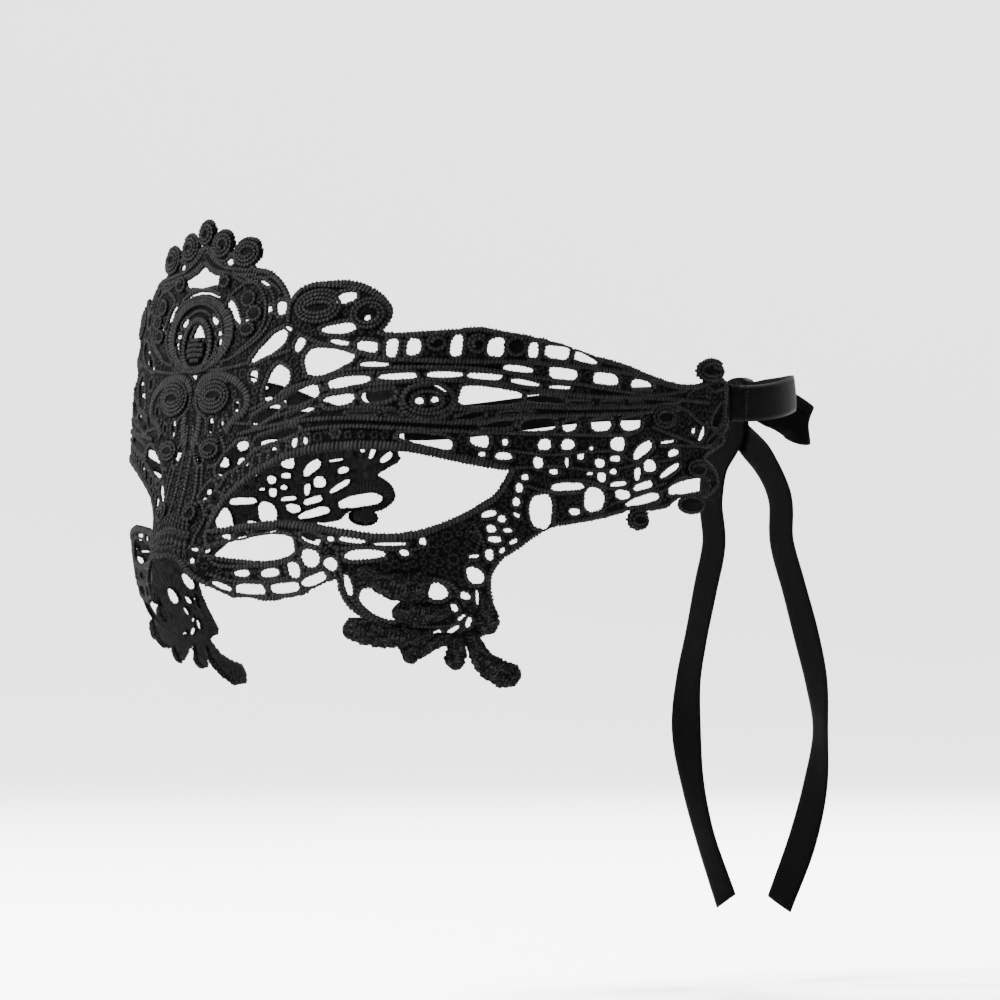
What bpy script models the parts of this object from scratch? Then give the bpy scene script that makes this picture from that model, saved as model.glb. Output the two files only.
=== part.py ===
"""Black guipure lace masquerade mask, held on by a satin ribbon tied in a bow.

The mask keeps the curve of the face it was worn on. The face looks along -Y, the
wearer's left is +X and up is +Z. The origin lies on the inner face of the lace, at
the nose arch, where the mask rests on the bridge of the nose.
"""
import bmesh
import bpy
import numpy as np
from mathutils import Vector
from mathutils.geometry import delaunay_2d_cdt

# Lace sizes, metres.
HALF_SPAN = 0.180          # round the face, from the mid-line to the end post
CROWN_RISE = 0.096         # from the nose arch up to the tip of the crown
LACE_THICK = 0.0016
PETAL_RELIEF = 0.0011      # how far a raised form stands out of the net

# Sizes of the curve that the lace keeps, metres.
FACE_HALF_WIDTH = 0.076
FACE_HALF_DEPTH = 0.096    # from the forehead back to the widest place
BACK_STRETCH = 1.08        # the back of the ring is this much deeper than the front
BRIDGE_DEPTH = 0.011       # the nose bridge stands this far out of the face
NOSE_HALF_WIDTH = 0.015

# Ribbon sizes, metres.
RIBBON_WIDTH = 0.0105
RIBBON_THICK = 0.0010
HEM_LENGTH = 0.007         # the end that is turned over and sewn
HEM_STEP = 0.0008          # past the hem the ribbon thins to one layer in this length
RIBBON_LIFT = 0.0003       # clear of the head's curve
PART_GAP = 0.0003          # between a ribbon piece and what it meets
POST_GAP = 0.0012          # the end post leans back at its top, towards the ribbon
KNOT_WIDTH = 0.012
KNOT_HEIGHT = 0.014
KNOT_DEPTH = 0.008
KNOT_OFFSET = 0.005        # the knot sits this far to the wearer's left
KNOT_UP = 0.0530
RIBBON_RISE_RUN = 0.070    # the ribbon climbs to the knot's height in this length
LOOP_LENGTH = 0.0185
LOOP_OPENING = 0.0056      # the loop's round end measures this across
LOOP_LAYERS = 0.0018       # between the two layers as they enter the knot
LOOP_DROOP = 0.008
LOOP_FALL = 0.0030         # the layer that comes back lies this much lower
LOOP_SWING = 0.0040        # the loop's end swings this far back from the head
TAIL_DROP = 0.150
TAILS_APART = 0.0020       # one tail leaves the knot in front of the other

# The lace is drawn on a squared chart, and every chart value below counts squares.
SQUARES_ALONG = 180        # from the mid-line to the end post
SQUARES_UP = 96            # from the nose arch to the tip of the crown
POST_ALONG = 178           # the outer side of the end post
POST_MIDDLE = 46.4         # the height at which the ribbon is sewn round it
POST_TOP = 52
POST_FOOT = 40.4

# How finely the forms are worked out.
HEIGHT_STEPS = 120
ARC_STEPS = 580
TURN_STEPS = 720
NET_SPREAD = 11            # squares between loose points inside the lace
NET_CLEAR = 1.6            # squares that such a point stays clear of an edge
TOP_CLEAR = 0.45           # and the top of a raised form
RING_SHARE = 0.62          # the ring of points round the top of a large round
CUT_REACH = 0.02           # squares within which two lines of the lace meet
KNOT_RINGS = 7
KNOT_SIDES = 12
KNOT_SOFTNESS = 0.55       # 1 is an oval ball, 0 a block
BAND_STATIONS = 23
LOOP_SIDE_STATIONS = 6
LOOP_BEND_STATIONS = 9
TAIL_STATIONS = 28
SHARP_ANGLE = 0.7          # radians: a sharper edge isn't shaded round

# Cross-sections of the face curve. Height and lengths are shares of the named sizes:
# up of CROWN_RISE, front and nose of BRIDGE_DEPTH, half_width of FACE_HALF_WIDTH,
# half_depth of FACE_HALF_DEPTH. Squareness 2 is an ellipse.
SECTIONS = (
    # up, front, half_width, half_depth, squareness, nose
    (-0.47, 1.82, 0.82, 0.94, 2.30, 1.64),
    (-0.21, 1.36, 0.89, 0.97, 2.40, 1.55),
    (-0.10, 1.14, 0.93, 0.98, 2.45, 1.36),
    (0.00, 1.00, 0.96, 0.99, 2.50, 1.00),
    (0.10, 0.95, 0.97, 0.99, 2.50, 0.62),
    (0.21, 0.95, 0.99, 0.99, 2.50, 0.29),
    (0.31, 0.97, 0.99, 1.00, 2.50, 0.09),
    (0.42, 1.03, 1.00, 1.00, 2.50, 0.02),
    (0.63, 1.18, 0.99, 0.99, 2.45, 0.00),
    (0.83, 1.36, 0.97, 0.97, 2.30, 0.00),
    (1.04, 1.59, 0.92, 0.94, 2.15, 0.00),
)

# The upper edge from the mid-line to the end post. A corner is 1, a smooth point 0.
TOP_EDGE = (
    # along, up, corner
    (0, 89.6, 1), (6, 87.2, 0), (12.3, 86.4, 0), (17, 84.4, 0), (21.6, 81.2, 1),
    (26, 80.3, 0), (30, 77.6, 0), (32.6, 74.4, 0), (33.8, 72, 1),
    (36, 74.8, 0), (40, 76.4, 0), (45, 76.8, 0), (50, 76.9, 0), (55, 75.6, 0),
    (59.5, 73, 0), (62.7, 69.5, 0), (63, 66, 0), (60.8, 62.5, 1),
    (66, 62.3, 0), (73, 62.8, 0), (80, 63.4, 0), (87.5, 64.2, 0), (96, 63.1, 0),
    (105, 62, 0), (113, 60.6, 0), (120, 58.8, 0), (128, 57, 0), (135, 55.8, 0),
    (142, 54, 0), (150, 52, 0), (158, 50.8, 0), (165, 51, 1),
    (171, 53, 0), (175, 53.4, 0), (POST_ALONG, POST_TOP, 1),
    (POST_ALONG, POST_FOOT, 1), (180, 39.4, 1),
)

# The lower edge from the mid-line to the end post.
LOW_EDGE = (
    # along, up, corner
    (0, 0, 1), (2, 0.5, 0), (4.6, 0.3, 0), (6.6, -1.2, 0), (9, -4.2, 0),
    (13, -7, 0), (18.5, -9.9, 0), (23, -10.2, 0), (28.5, -10.8, 0), (34, -10.2, 0),
    (39, -9.2, 0), (44, -6.9, 0), (49.2, -4.8, 1),
    (49, -8, 0), (50.4, -12, 0), (53.4, -15.2, 0), (58, -17.8, 1),
    (64, -20, 0), (72, -22.5, 0), (80, -23.5, 0), (86, -20.5, 1),
    (90.6, -18.5, 0), (91.4, -12, 0), (92.2, -5, 0), (96, 0, 0), (102, 3.5, 0),
    (107, 6.8, 0), (114, 9.8, 0), (120, 10.7, 0), (127, 11.8, 0), (134, 13.2, 0),
    (141, 14.7, 0), (149, 15, 0), (154.5, 15.9, 0), (158.5, 18.2, 0),
    (164, 18.8, 0), (170, 18.9, 0), (174.6, 21.3, 0), (175.9, 24, 0),
    (174, 27.4, 0), (169, 30.2, 1), (173.5, 32.6, 0), (177.6, 34.8, 0),
    (177, 37.6, 1), (180, 39.4, 1),
)

# Round forms worked in satin stitch. They stand out of the net, and those on the
# edge make its lobes. The first lies on the mid-line and isn't repeated.
ROUNDS = (
    # along, up, half_along, half_up
    (0, 92.2, 3.9, 3.9),
    (7.6, 88.6, 4.6, 4.2),
    (17.6, 85.6, 5.2, 4.4),
    (10.5, 78.2, 2.8, 2.6),
    (20, 72.6, 2.4, 2.2),
    (22.6, 68.4, 2.4, 2.1),
    (20.6, 64.2, 2.5, 1.8),
    (42.6, 69.4, 7.2, 5.0),
    (56.6, 67.2, 5.2, 4.6),
    (9.6, 46, 7.2, 5.4),
    (9.8, 31, 4.4, 3.2),
    (6.4, 13.2, 2.8, 3.0),
    (75, 44.2, 7.0, 4.4),
    (76, 59.4, 3.2, 2.8),
    (87.2, 59.2, 3.2, 3.0),
    (98.6, 59, 3.0, 2.6),
    (169.8, 55, 6.2, 3.6),
    (143.4, 12.2, 4.3, 3.2),
    (164, 17, 5.2, 2.4),
    (166, 27, 4.4, 2.8),
    (152, 41, 5.0, 3.4),
)

# Satin-stitched petals of the cheek spray, from root to round tip. Bend is how far
# the middle of the petal bows to its left-hand side.
PETALS = (
    # root_along, root_up, tip_along, tip_up, bend, root_half, tip_half
    (74, -19.8, 51.4, -18.5, 1.8, 2.0, 3.3),
    (76, -20.5, 64.8, -25.2, -0.6, 1.5, 2.6),
    (78.2, -21, 76.2, -26.9, 0.3, 1.6, 2.7),
    (82.8, -20.5, 91.2, -31, -2.6, 2.2, 3.5),
    (86, -8, 88, -16.6, 0.8, 2.2, 3.2),
    (80, -13.3, 65.6, -13.5, 0.9, 1.9, 3.0),
    (57, -2.6, 72, -6.6, -1.8, 2.0, 3.9),
)

# Openings in the net. Tilt is in degrees, taper makes one end wider, and roundness 2
# is an ellipse, 4 nearly a rectangle.
GAPS = (
    # along, up, half_long, half_high, tilt, taper, roundness
    (14.7, 69.2, 4.2, 1.3, -50, -0.3, 2.0),
    (31.3, 69.6, 1.5, 1.9, 0, 0.0, 2.6),
    (28.2, 58.6, 6.6, 2.0, 34, 0.6, 2.2),
    (49.8, 71.9, 2.7, 1.5, 15, 0.0, 2.4),
    (48.8, 63.4, 4.8, 1.3, 6, 0.3, 2.4),
    (46.9, 54.7, 7.3, 3.3, 6, -0.4, 2.2),
    (57.4, 58.4, 2.7, 1.4, -8, 0.0, 3.4),
    (64, 58, 1.6, 2.5, 0, 0.0, 3.0),
    (69.8, 58.3, 2.0, 2.2, 0, 0.0, 2.6),
    (81.6, 58.8, 1.7, 2.9, 0, 0.0, 3.0),
    (93, 58.7, 2.4, 2.7, 0, 0.0, 3.0),
    (104.4, 58.2, 1.5, 2.3, 0, 0.0, 3.0),
    (112.2, 57.9, 3.9, 1.9, -6, 0.0, 3.4),
    (121.8, 56.5, 4.0, 1.1, -14, -0.3, 3.0),
    (114.6, 52, 4.9, 1.6, -3, 0.0, 3.6),
    (129.5, 51.1, 4.6, 1.6, -2, 0.0, 3.6),
    (142.8, 50.1, 3.7, 1.3, -4, -0.2, 3.0),
    (52.9, 48.8, 5.5, 1.4, 9, 0.0, 3.0),
    (66.5, 50.2, 5.2, 0.8, 3, 0.0, 3.0),
    (90.5, 50.5, 5.2, 0.8, -3, 0.0, 3.0),
    (31.8, 48.7, 5.0, 3.1, 58, 0.2, 2.4),
    (40.2, 45.1, 5.2, 1.9, 22, 0.0, 3.0),
    (50.6, 43.7, 4.5, 1.4, 10, 0.0, 2.8),
    (61.4, 44.9, 4.2, 1.6, 8, 0.0, 3.2),
    (92.4, 45, 9.0, 2.6, -2, -0.2, 3.4),
    (109.2, 44.7, 6.0, 1.1, -3, 0.0, 3.2),
    (29, 40.2, 4.7, 1.5, 27, 0.1, 2.6),
    (95, 37.4, 5.0, 0.9, 6, 0.4, 2.4),
    (107.7, 37.7, 5.5, 1.7, 4, 0.0, 3.4),
    (118, 37.7, 2.5, 1.4, 20, 0.0, 2.6),
    (128.8, 38.3, 3.7, 1.6, 6, 0.1, 2.8),
    (139.8, 39.1, 3.8, 1.9, 12, 0.0, 2.8),
    (32.6, 34.1, 7.2, 1.2, 15, 0.0, 3.0),
    (18.6, 28.4, 6.4, 2.7, 35, 0.1, 2.6),
    (74.6, 33, 8.2, 1.5, -9, 0.5, 2.4),
    (90, 33, 2.7, 1.7, -10, 0.0, 3.0),
    (4.8, 29.6, 2.9, 1.1, -62, 0.0, 2.6),
    (10.6, 19.3, 3.2, 1.2, 52, 0.0, 2.6),
    (26, 3.5, 12.8, 3.3, 5, 0.3, 2.2),
    (43.4, 6.1, 2.6, 1.4, -20, 0.0, 2.4),
    (42.8, 0.8, 2.4, 2.5, 0, 0.0, 2.2),
    (58, 1.7, 5.6, 1.2, 2, -0.2, 2.4),
    (37.6, -2.3, 1.8, 2.0, 0, 0.0, 2.8),
    (23.9, -7.5, 4.2, 1.4, -2, 0.0, 3.4),
    (34, -7.2, 4.2, 1.4, 4, 0.0, 3.2),
    (42.9, -5, 4.0, 1.2, 22, 0.0, 2.8),
    (59.8, -11.3, 5.6, 3.9, -28, 0.0, 2.2),
    (75.9, -8.2, 2.7, 2.3, 20, 0.0, 2.2),
    (109.2, 13.9, 3.5, 5.0, 0, 0.0, 2.6),
    (118, 20.8, 5.3, 1.1, 3, 0.0, 3.0),
    (127.2, 17.5, 3.8, 3.2, 0, 0.0, 2.4),
    (145, 17.8, 6.4, 1.2, 14, 0.3, 2.8),
    (145.4, 21.7, 3.8, 1.0, 15, 0.0, 3.2),
    (144.6, 31.8, 4.0, 1.6, 32, 0.0, 2.6),
    (163, 21.9, 8.2, 1.9, 10, 0.1, 2.6),
    (174.7, 42.6, 3.8, 1.9, 66, -0.4, 2.2),
)

# Openings on the mid-line, as their right-hand halves from the top down.
CENTRE_GAPS = (
    # along, up
    ((0, 83.2), (2.4, 81.3), (5.4, 80.2), (8.6, 79.4), (7, 77.4), (0, 76.8)),
    ((0, 66.6), (1.6, 65.2), (3, 62.7), (0, 62.9)),
    ((0, 50.2), (2.9, 52.6), (0, 52.8)),
)

# The eye hole, station by station from the nose outwards.
EYE_HOLE = (
    # along, lower, upper
    (13, 9, 9), (16, 9.2, 14.8), (20, 9.9, 19), (26, 10.6, 23), (34, 11, 26.8),
    (43, 10.3, 29.2), (52, 8.8, 30), (62, 7.4, 30.2), (72, 8.3, 29.2),
    (82, 11.6, 27.2), (90, 15.6, 25.8), (96, 20, 25), (99, 24.8, 24.8),
)

# How the visible ribbon tail hangs. Down, out and back are shares of TAIL_DROP from
# the knot, turn is the ribbon's twist in degrees.
TAIL = (
    # down, out, back, turn
    (0.00, 0.000, 0.000, 0), (0.03, 0.002, 0.000, 0), (0.09, 0.062, 0.004, 0),
    (0.16, 0.095, 0.018, 0),
    (0.26, 0.095, 0.026, 0), (0.35, 0.125, 0.030, 0), (0.45, 0.158, 0.034, 2),
    (0.54, 0.184, 0.036, -4), (0.64, 0.194, 0.038, -18), (0.76, 0.176, 0.040, 0),
    (0.86, 0.142, 0.040, 8), (1.00, 0.072, 0.038, 4),
)

THREAD_COLOUR = (0.013, 0.012, 0.012, 1.0)
SATIN_COLOUR = (0.007, 0.007, 0.0075, 1.0)
THREAD_ROUGHNESS = 0.85
SATIN_ROUGHNESS = 0.38


def smooth_rows(rows, at):
    """Every column of a table at the places given, by a smooth cubic through its rows."""
    table = np.array(rows, dtype=float)
    place = table[:, 0]
    slope = np.gradient(table, place, axis=0)
    low = np.clip(np.searchsorted(place, at) - 1, 0, len(place) - 2)
    step = place[low + 1] - place[low]
    share = np.clip((at - place[low]) / step, 0, 1)[:, None]
    step = step[:, None]
    start = (2 * share ** 3 - 3 * share ** 2 + 1) * table[low]
    leave = (share ** 3 - 2 * share ** 2 + share) * step * slope[low]
    end = (3 * share ** 2 - 2 * share ** 3) * table[low + 1]
    arrive = (share ** 3 - share ** 2) * step * slope[low + 1]
    return start + leave + end + arrive


def face_grid():
    """Points of the face curve: a row for each height, a column for each arc length.

    The last of the five is the arc length from the mid-line round to the back's middle.
    """
    heights = np.linspace(SECTIONS[0][0], SECTIONS[-1][0], HEIGHT_STEPS + 1)
    longest = np.pi * max(FACE_HALF_WIDTH, FACE_HALF_DEPTH * BACK_STRETCH)
    arcs = np.linspace(0, longest, ARC_STEPS + 1)
    turn = np.linspace(0, np.pi, TURN_STEPS + 1)
    across, deep, rounds = [], [], []
    for row in smooth_rows(SECTIONS, heights):
        front = row[1] * BRIDGE_DEPTH
        half_width = row[2] * FACE_HALF_WIDTH
        half_depth = row[3] * FACE_HALF_DEPTH
        power = 2 / row[4]
        x = half_width * np.abs(np.sin(turn)) ** power
        reach = np.sign(np.cos(turn)) * np.abs(np.cos(turn)) ** power
        stretch = np.where(reach > 0, 1, BACK_STRETCH)
        y = front + half_depth * (1 - stretch * reach)
        arc = np.concatenate([[0], np.cumsum(np.hypot(np.diff(x), np.diff(y)))])
        bump = row[5] * BRIDGE_DEPTH * np.exp(-(x / NOSE_HALF_WIDTH) ** 2)
        y = y - bump * (turn < np.pi / 2)
        across.append(np.interp(arcs, arc, x))
        deep.append(np.interp(arcs, arc, y))
        rounds.append(arc[-1])
    return heights * CROWN_RISE, arcs, np.array(across), np.array(deep), np.array(rounds)


HEIGHTS, ARCS, ACROSS, DEEP, HALF_ROUNDS = face_grid()


def face_point(along, up):
    """Points on the face curve, by arc length from the mid-line and height."""
    row = np.clip(np.interp(up, HEIGHTS, np.arange(len(HEIGHTS))), 0, len(HEIGHTS) - 1.001)
    column = np.clip(np.abs(along) / ARCS[1], 0, len(ARCS) - 1.001)
    i, j = row.astype(int), column.astype(int)
    fi, fj = row - i, column - j

    def blend(grid):
        low = grid[i, j] * (1 - fj) + grid[i, j + 1] * fj
        high = grid[i + 1, j] * (1 - fj) + grid[i + 1, j + 1] * fj
        return low * (1 - fi) + high * fi

    return np.stack([np.sign(along) * blend(ACROSS), blend(DEEP), up], axis=-1)


def face_normal(along, up):
    """Unit normals of the face curve, pointing away from the head."""
    small = 0.001
    side = face_point(along + small, up) - face_point(along - small, up)
    rise = face_point(along, up + small) - face_point(along, up - small)
    normal = np.cross(side, rise)
    return normal / np.linalg.norm(normal, axis=-1, keepdims=True)


def smooth_line(points, steps):
    """A smooth line through the points, with so many steps between two of them."""
    points = np.array(points, dtype=float)
    if len(points) < 3:
        return points
    numbered = np.column_stack([np.arange(len(points)), points])
    at = np.linspace(0, len(points) - 1, (len(points) - 1) * steps + 1)
    return smooth_rows(numbered, at)[:, 1:]


def edge_line(rows):
    """An edge of the chart: smooth runs that meet at its corners."""
    line, run = [], []
    for along, up, corner in rows:
        run.append((along, up))
        if corner and len(run) > 1:
            line.extend(smooth_line(run, 2)[:-1])
            run = [(along, up)]
    line.append(run[-1])
    return np.array(line)


def body_shape():
    """The outline of the whole lace: the right half, then its mirror image."""
    low = edge_line(LOW_EDGE)
    top = edge_line(TOP_EDGE)[::-1]
    right = np.concatenate([low, top[1:]])
    left = right[1:-1][::-1] * (-1, 1)
    return np.concatenate([right, left])


def eye_shape():
    """The right eye hole as a closed line, from its stations."""
    stations = np.array(EYE_HOLE, dtype=float)
    at = np.linspace(stations[0, 0], stations[-1, 0], 17)
    rows = smooth_rows(EYE_HOLE, at)
    lower = rows[:, :2]
    upper = rows[1:-1][::-1][:, (0, 2)]
    return np.concatenate([lower, upper])


def round_shape(along, up, half_along, half_up):
    """An oval, with fewer sides when it is small."""
    sides = 12 if half_along > 4 else 8
    turn = np.arange(sides) * 2 * np.pi / sides
    return np.column_stack([along + half_along * np.cos(turn), up + half_up * np.sin(turn)])


def gap_shape(along, up, half_long, half_high, tilt, taper, roundness):
    """A rounded opening: between an oval and a slot, wider at one end, and tilted."""
    count = 8 if half_long < 3 else 12
    turn = (np.arange(count) + 0.5) * 2 * np.pi / count
    power = 2 / roundness
    x = np.sign(np.cos(turn)) * np.abs(np.cos(turn)) ** power
    y = np.sign(np.sin(turn)) * np.abs(np.sin(turn)) ** power
    y = half_high * y * (1 + taper * x)
    x = half_long * x
    angle = np.radians(tilt)
    return np.column_stack([
        along + x * np.cos(angle) - y * np.sin(angle),
        up + x * np.sin(angle) + y * np.cos(angle),
    ])


def petal_spine(root_along, root_up, tip_along, tip_up, bend, root_half, tip_half, count):
    """The middle line of a petal, its left-hand direction, and its half widths."""
    share = np.linspace(0, 1, count)
    root = np.array((root_along, root_up), dtype=float)
    run = np.array((tip_along, tip_up), dtype=float) - root
    left = np.array((-run[1], run[0])) / np.hypot(*run)
    spine = root + share[:, None] * run + (4 * bend * share * (1 - share))[:, None] * left
    half = root_half + (tip_half - root_half) * np.sin(share * np.pi / 2)
    return spine, left, half


def petal_shape(*row):
    """A petal's outline: up one side of the spine, round the tip and down the other."""
    spine, left, half = petal_spine(*row, 5)
    ahead = np.array((left[1], -left[0]))
    turn = np.radians((-50, 0, 50))
    tip_half = half[-1]
    cap = spine[-1] + tip_half * (np.cos(turn)[:, None] * ahead + np.sin(turn)[:, None] * left)
    right_side = spine - half[:, None] * left
    left_side = spine + half[:, None] * left
    return np.concatenate([right_side, cap, left_side[::-1]])


def anticlockwise(shape):
    """The same outline, turned round if its signed area is negative."""
    following = np.roll(shape, -1, axis=0)
    area = np.sum(shape[:, 0] * following[:, 1] - shape[:, 1] * following[:, 0])
    return shape if area > 0 else shape[::-1]


def mirrored(shape):
    """The same outline on the other side of the mid-line."""
    return shape[::-1] * (-1, 1)


def both_sides(shapes):
    """Each outline and its mirror image."""
    pairs = []
    for shape in shapes:
        pairs.append(shape)
        pairs.append(mirrored(shape))
    return pairs


def solid_shapes():
    """All outlines that the stitching fills."""
    rounds = [round_shape(*row) for row in ROUNDS]
    petals = [petal_shape(*row) for row in PETALS]
    return [body_shape(), rounds[0]] + both_sides(rounds[1:] + petals)


def open_shapes():
    """All outlines that the net leaves open."""
    shapes = both_sides([eye_shape()] + [gap_shape(*row) for row in GAPS])
    for half in CENTRE_GAPS:
        right = np.array(half, dtype=float)
        left = mirrored(right[1:-1])
        shapes.append(np.concatenate([right, left]))
    return shapes


def relief_at(points):
    """How far each chart point stands out, as a share of the relief: domes and ridges."""
    height = np.zeros(len(points))
    aside = np.abs(points[:, 0])
    for along, up, half_along, half_up in ROUNDS:
        reach = ((aside - along) / half_along) ** 2 + ((points[:, 1] - up) / half_up) ** 2
        height = np.maximum(height, np.sqrt(np.clip(1 - reach, 0, 1)))
    for row in PETALS:
        spine, left, half = petal_spine(*row, 25)
        offset = np.stack([aside, points[:, 1]], axis=-1)[:, None] - spine
        reach = np.min(np.hypot(offset[..., 0], offset[..., 1]) / half, axis=1)
        height = np.maximum(height, np.sqrt(np.clip(1 - reach ** 2, 0, 1)))
    return height


def inner_points(shapes):
    """Chart points inside the stitching: an even net, and the tops of raised forms."""
    lowest = min(row[1] for row in LOW_EDGE) - NET_SPREAD
    along = np.arange(-SQUARES_ALONG, SQUARES_ALONG + 1, NET_SPREAD)
    up = np.arange(lowest, SQUARES_UP, NET_SPREAD)
    net = np.stack(np.meshgrid(along, up), axis=-1).reshape(-1, 2)
    raised = [row[:2] for row in ROUNDS]
    for along, up, half_along, half_up in ROUNDS:
        if half_along > 4:
            ring = round_shape(along, up, RING_SHARE * half_along, RING_SHARE * half_up)
            raised.extend(ring[::2])
    for row in PETALS:
        raised.extend(petal_spine(*row, 4)[0])
    raised = np.array(raised, dtype=float)
    raised = np.concatenate([raised, raised[raised[:, 0] > 0] * (-1, 1)])
    points = np.concatenate([raised, net])
    edges = np.concatenate([np.concatenate([shape, (shape + np.roll(shape, -1, 0)) / 2])
                            for shape in shapes])
    kept = []
    for number, point in enumerate(points):
        clear = TOP_CLEAR if number < len(raised) else NET_CLEAR
        near = np.min(np.hypot(*(edges - point).T))
        others = np.array(kept) if kept else np.full((1, 2), np.inf)
        apart = np.min(np.hypot(*(others - point).T))
        if near > clear and apart > 2 * clear:
            kept.append(point)
    return np.array(kept)


def lace_sheet():
    """The chart cut into triangles: its points, and the triangles that are stitched."""
    solids = solid_shapes()
    opens = open_shapes()
    shapes = [anticlockwise(shape) for shape in solids + opens]
    loose = inner_points(shapes)
    corners, loops = [], []
    for shape in shapes:
        first = len(corners)
        corners.extend(Vector(point) for point in shape)
        loops.append(list(range(first, len(corners))))
    corners.extend(Vector(point) for point in loose)
    found = delaunay_2d_cdt(corners, [], loops, 1, CUT_REACH)
    points = np.array([(point.x, point.y) for point in found[0]])
    stitched = []
    for triangle, sources in zip(found[2], found[5]):
        filled = any(source < len(solids) for source in sources)
        cut = any(source >= len(solids) for source in sources)
        if filled and not cut:
            stitched.append(tuple(triangle))
    return points, stitched


def border_of(triangles):
    """The directed edges that belong to one triangle only."""
    edges = {(t[k], t[(k + 1) % 3]) for t in triangles for k in range(3)}
    return [(a, b) for a, b in sorted(edges) if (b, a) not in edges]


def add_material(part, name, colour, roughness, metallic):
    """Give a part its own plain finish."""
    material = bpy.data.materials.new(name)
    material.use_nodes = True
    shader = material.node_tree.nodes["Principled BSDF"]
    shader.inputs["Base Color"].default_value = colour
    shader.inputs["Roughness"].default_value = roughness
    shader.inputs["Metallic"].default_value = metallic
    part.data.materials.append(material)


def add_part(name, points, faces, colour, roughness):
    """Put a closed body into the scene as one named object."""
    mesh = bpy.data.meshes.new(name)
    mesh.from_pydata([tuple(point) for point in points], [], faces)
    mesh.validate()
    work = bmesh.new()
    work.from_mesh(mesh)
    loose = [vert for vert in work.verts if not vert.link_faces]
    bmesh.ops.delete(work, geom=loose, context="VERTS")
    bmesh.ops.recalc_face_normals(work, faces=work.faces)
    work.to_mesh(mesh)
    work.free()
    mesh.shade_smooth()
    mesh.set_sharp_from_angle(angle=SHARP_ANGLE)
    part = bpy.data.objects.new(name, mesh)
    bpy.context.scene.collection.objects.link(part)
    add_material(part, name + "_finish", colour, roughness, 0.0)
    return part


def build_lace():
    """The pierced lace: front and back sheets on the face curve, joined at every edge."""
    points, triangles = lace_sheet()
    along = points[:, 0] * HALF_SPAN / SQUARES_ALONG
    up = points[:, 1] * CROWN_RISE / SQUARES_UP
    inner = face_point(along, up)
    normal = face_normal(along, up)
    thick = LACE_THICK + PETAL_RELIEF * relief_at(points)
    outer = inner + normal * thick[:, None]
    count = len(points)
    faces = [tuple(triangle) for triangle in triangles]
    faces += [(c + count, b + count, a + count) for a, b, c in triangles]
    faces += [(b, a, a + count, b + count) for a, b in border_of(triangles)]
    return add_part("lace_mask", np.concatenate([outer, inner]), faces, THREAD_COLOUR,
                    THREAD_ROUGHNESS)


def strip(name, centre, across, facing, thick):
    """A ribbon strip: an oblong carried along a line, closed at both ends.

    across holds half the width as a vector at each station, facing the unit normal.
    """
    half = facing * (np.asarray(thick) / 2)[:, None]
    rings = np.stack([
        centre - across - half,
        centre + across - half,
        centre + across + half,
        centre - across + half,
    ], axis=1)
    last = len(centre) - 1
    faces = [(3, 2, 1, 0), tuple(4 * last + k for k in range(4))]
    for station in range(last):
        for k in range(4):
            a = 4 * station + k
            b = 4 * station + (k + 1) % 4
            faces.append((a, b, b + 4, a + 4))
    return add_part(name, rings.reshape(-1, 3), faces, SATIN_COLOUR, SATIN_ROUGHNESS)


def ring_height(along):
    """The ribbon's middle height: it rises from the end post to the knot."""
    start = HALF_SPAN
    reach = np.clip((along - start) / RIBBON_RISE_RUN, 0, 1)
    low = POST_MIDDLE / SQUARES_UP * CROWN_RISE
    return low + (KNOT_UP - low) * (1 - np.cos(reach * np.pi)) / 2


def half_round():
    """The arc length from the mid-line to the middle of the back, at the knot's height."""
    return np.interp(KNOT_UP, HEIGHTS, HALF_ROUNDS)


def knot_centre():
    """The middle of the knot, on the back of the ring."""
    back = face_point(np.array([half_round()]), np.array([KNOT_UP]))[0]
    return np.array((KNOT_OFFSET, back[1] + RIBBON_LIFT + KNOT_DEPTH / 2, KNOT_UP))


def build_band(name, side):
    """The ribbon from an end post round the back to the knot, with its sewn end."""
    post_end = POST_ALONG / SQUARES_ALONG * HALF_SPAN + POST_GAP
    knot_side = KNOT_OFFSET + side * (KNOT_WIDTH / 2 + PART_GAP)
    arcs = np.linspace(post_end, half_round(), ARC_STEPS)
    ring = face_point(arcs, ring_height(arcs))
    knot_arc = np.interp(-side * knot_side, -ring[:, 0], arcs)
    hem_end = post_end + HEM_LENGTH
    single = np.linspace(hem_end + HEM_STEP, knot_arc, BAND_STATIONS)
    along = np.concatenate([[post_end, hem_end], single])
    height = ring_height(along)
    place = face_point(along, height)
    facing = face_normal(along, height)
    ahead = np.gradient(place, axis=0)
    across = np.cross(facing, ahead)
    across *= RIBBON_WIDTH / 2 / np.linalg.norm(across, axis=1, keepdims=True)
    thick = np.where(along <= hem_end + 1e-6, 2 * RIBBON_THICK, RIBBON_THICK)
    centre = place + facing * (RIBBON_LIFT + thick / 2)[:, None]
    mirror = np.array((side, 1, 1))
    return strip(name, centre * mirror, across * mirror, facing * mirror, thick)


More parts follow.
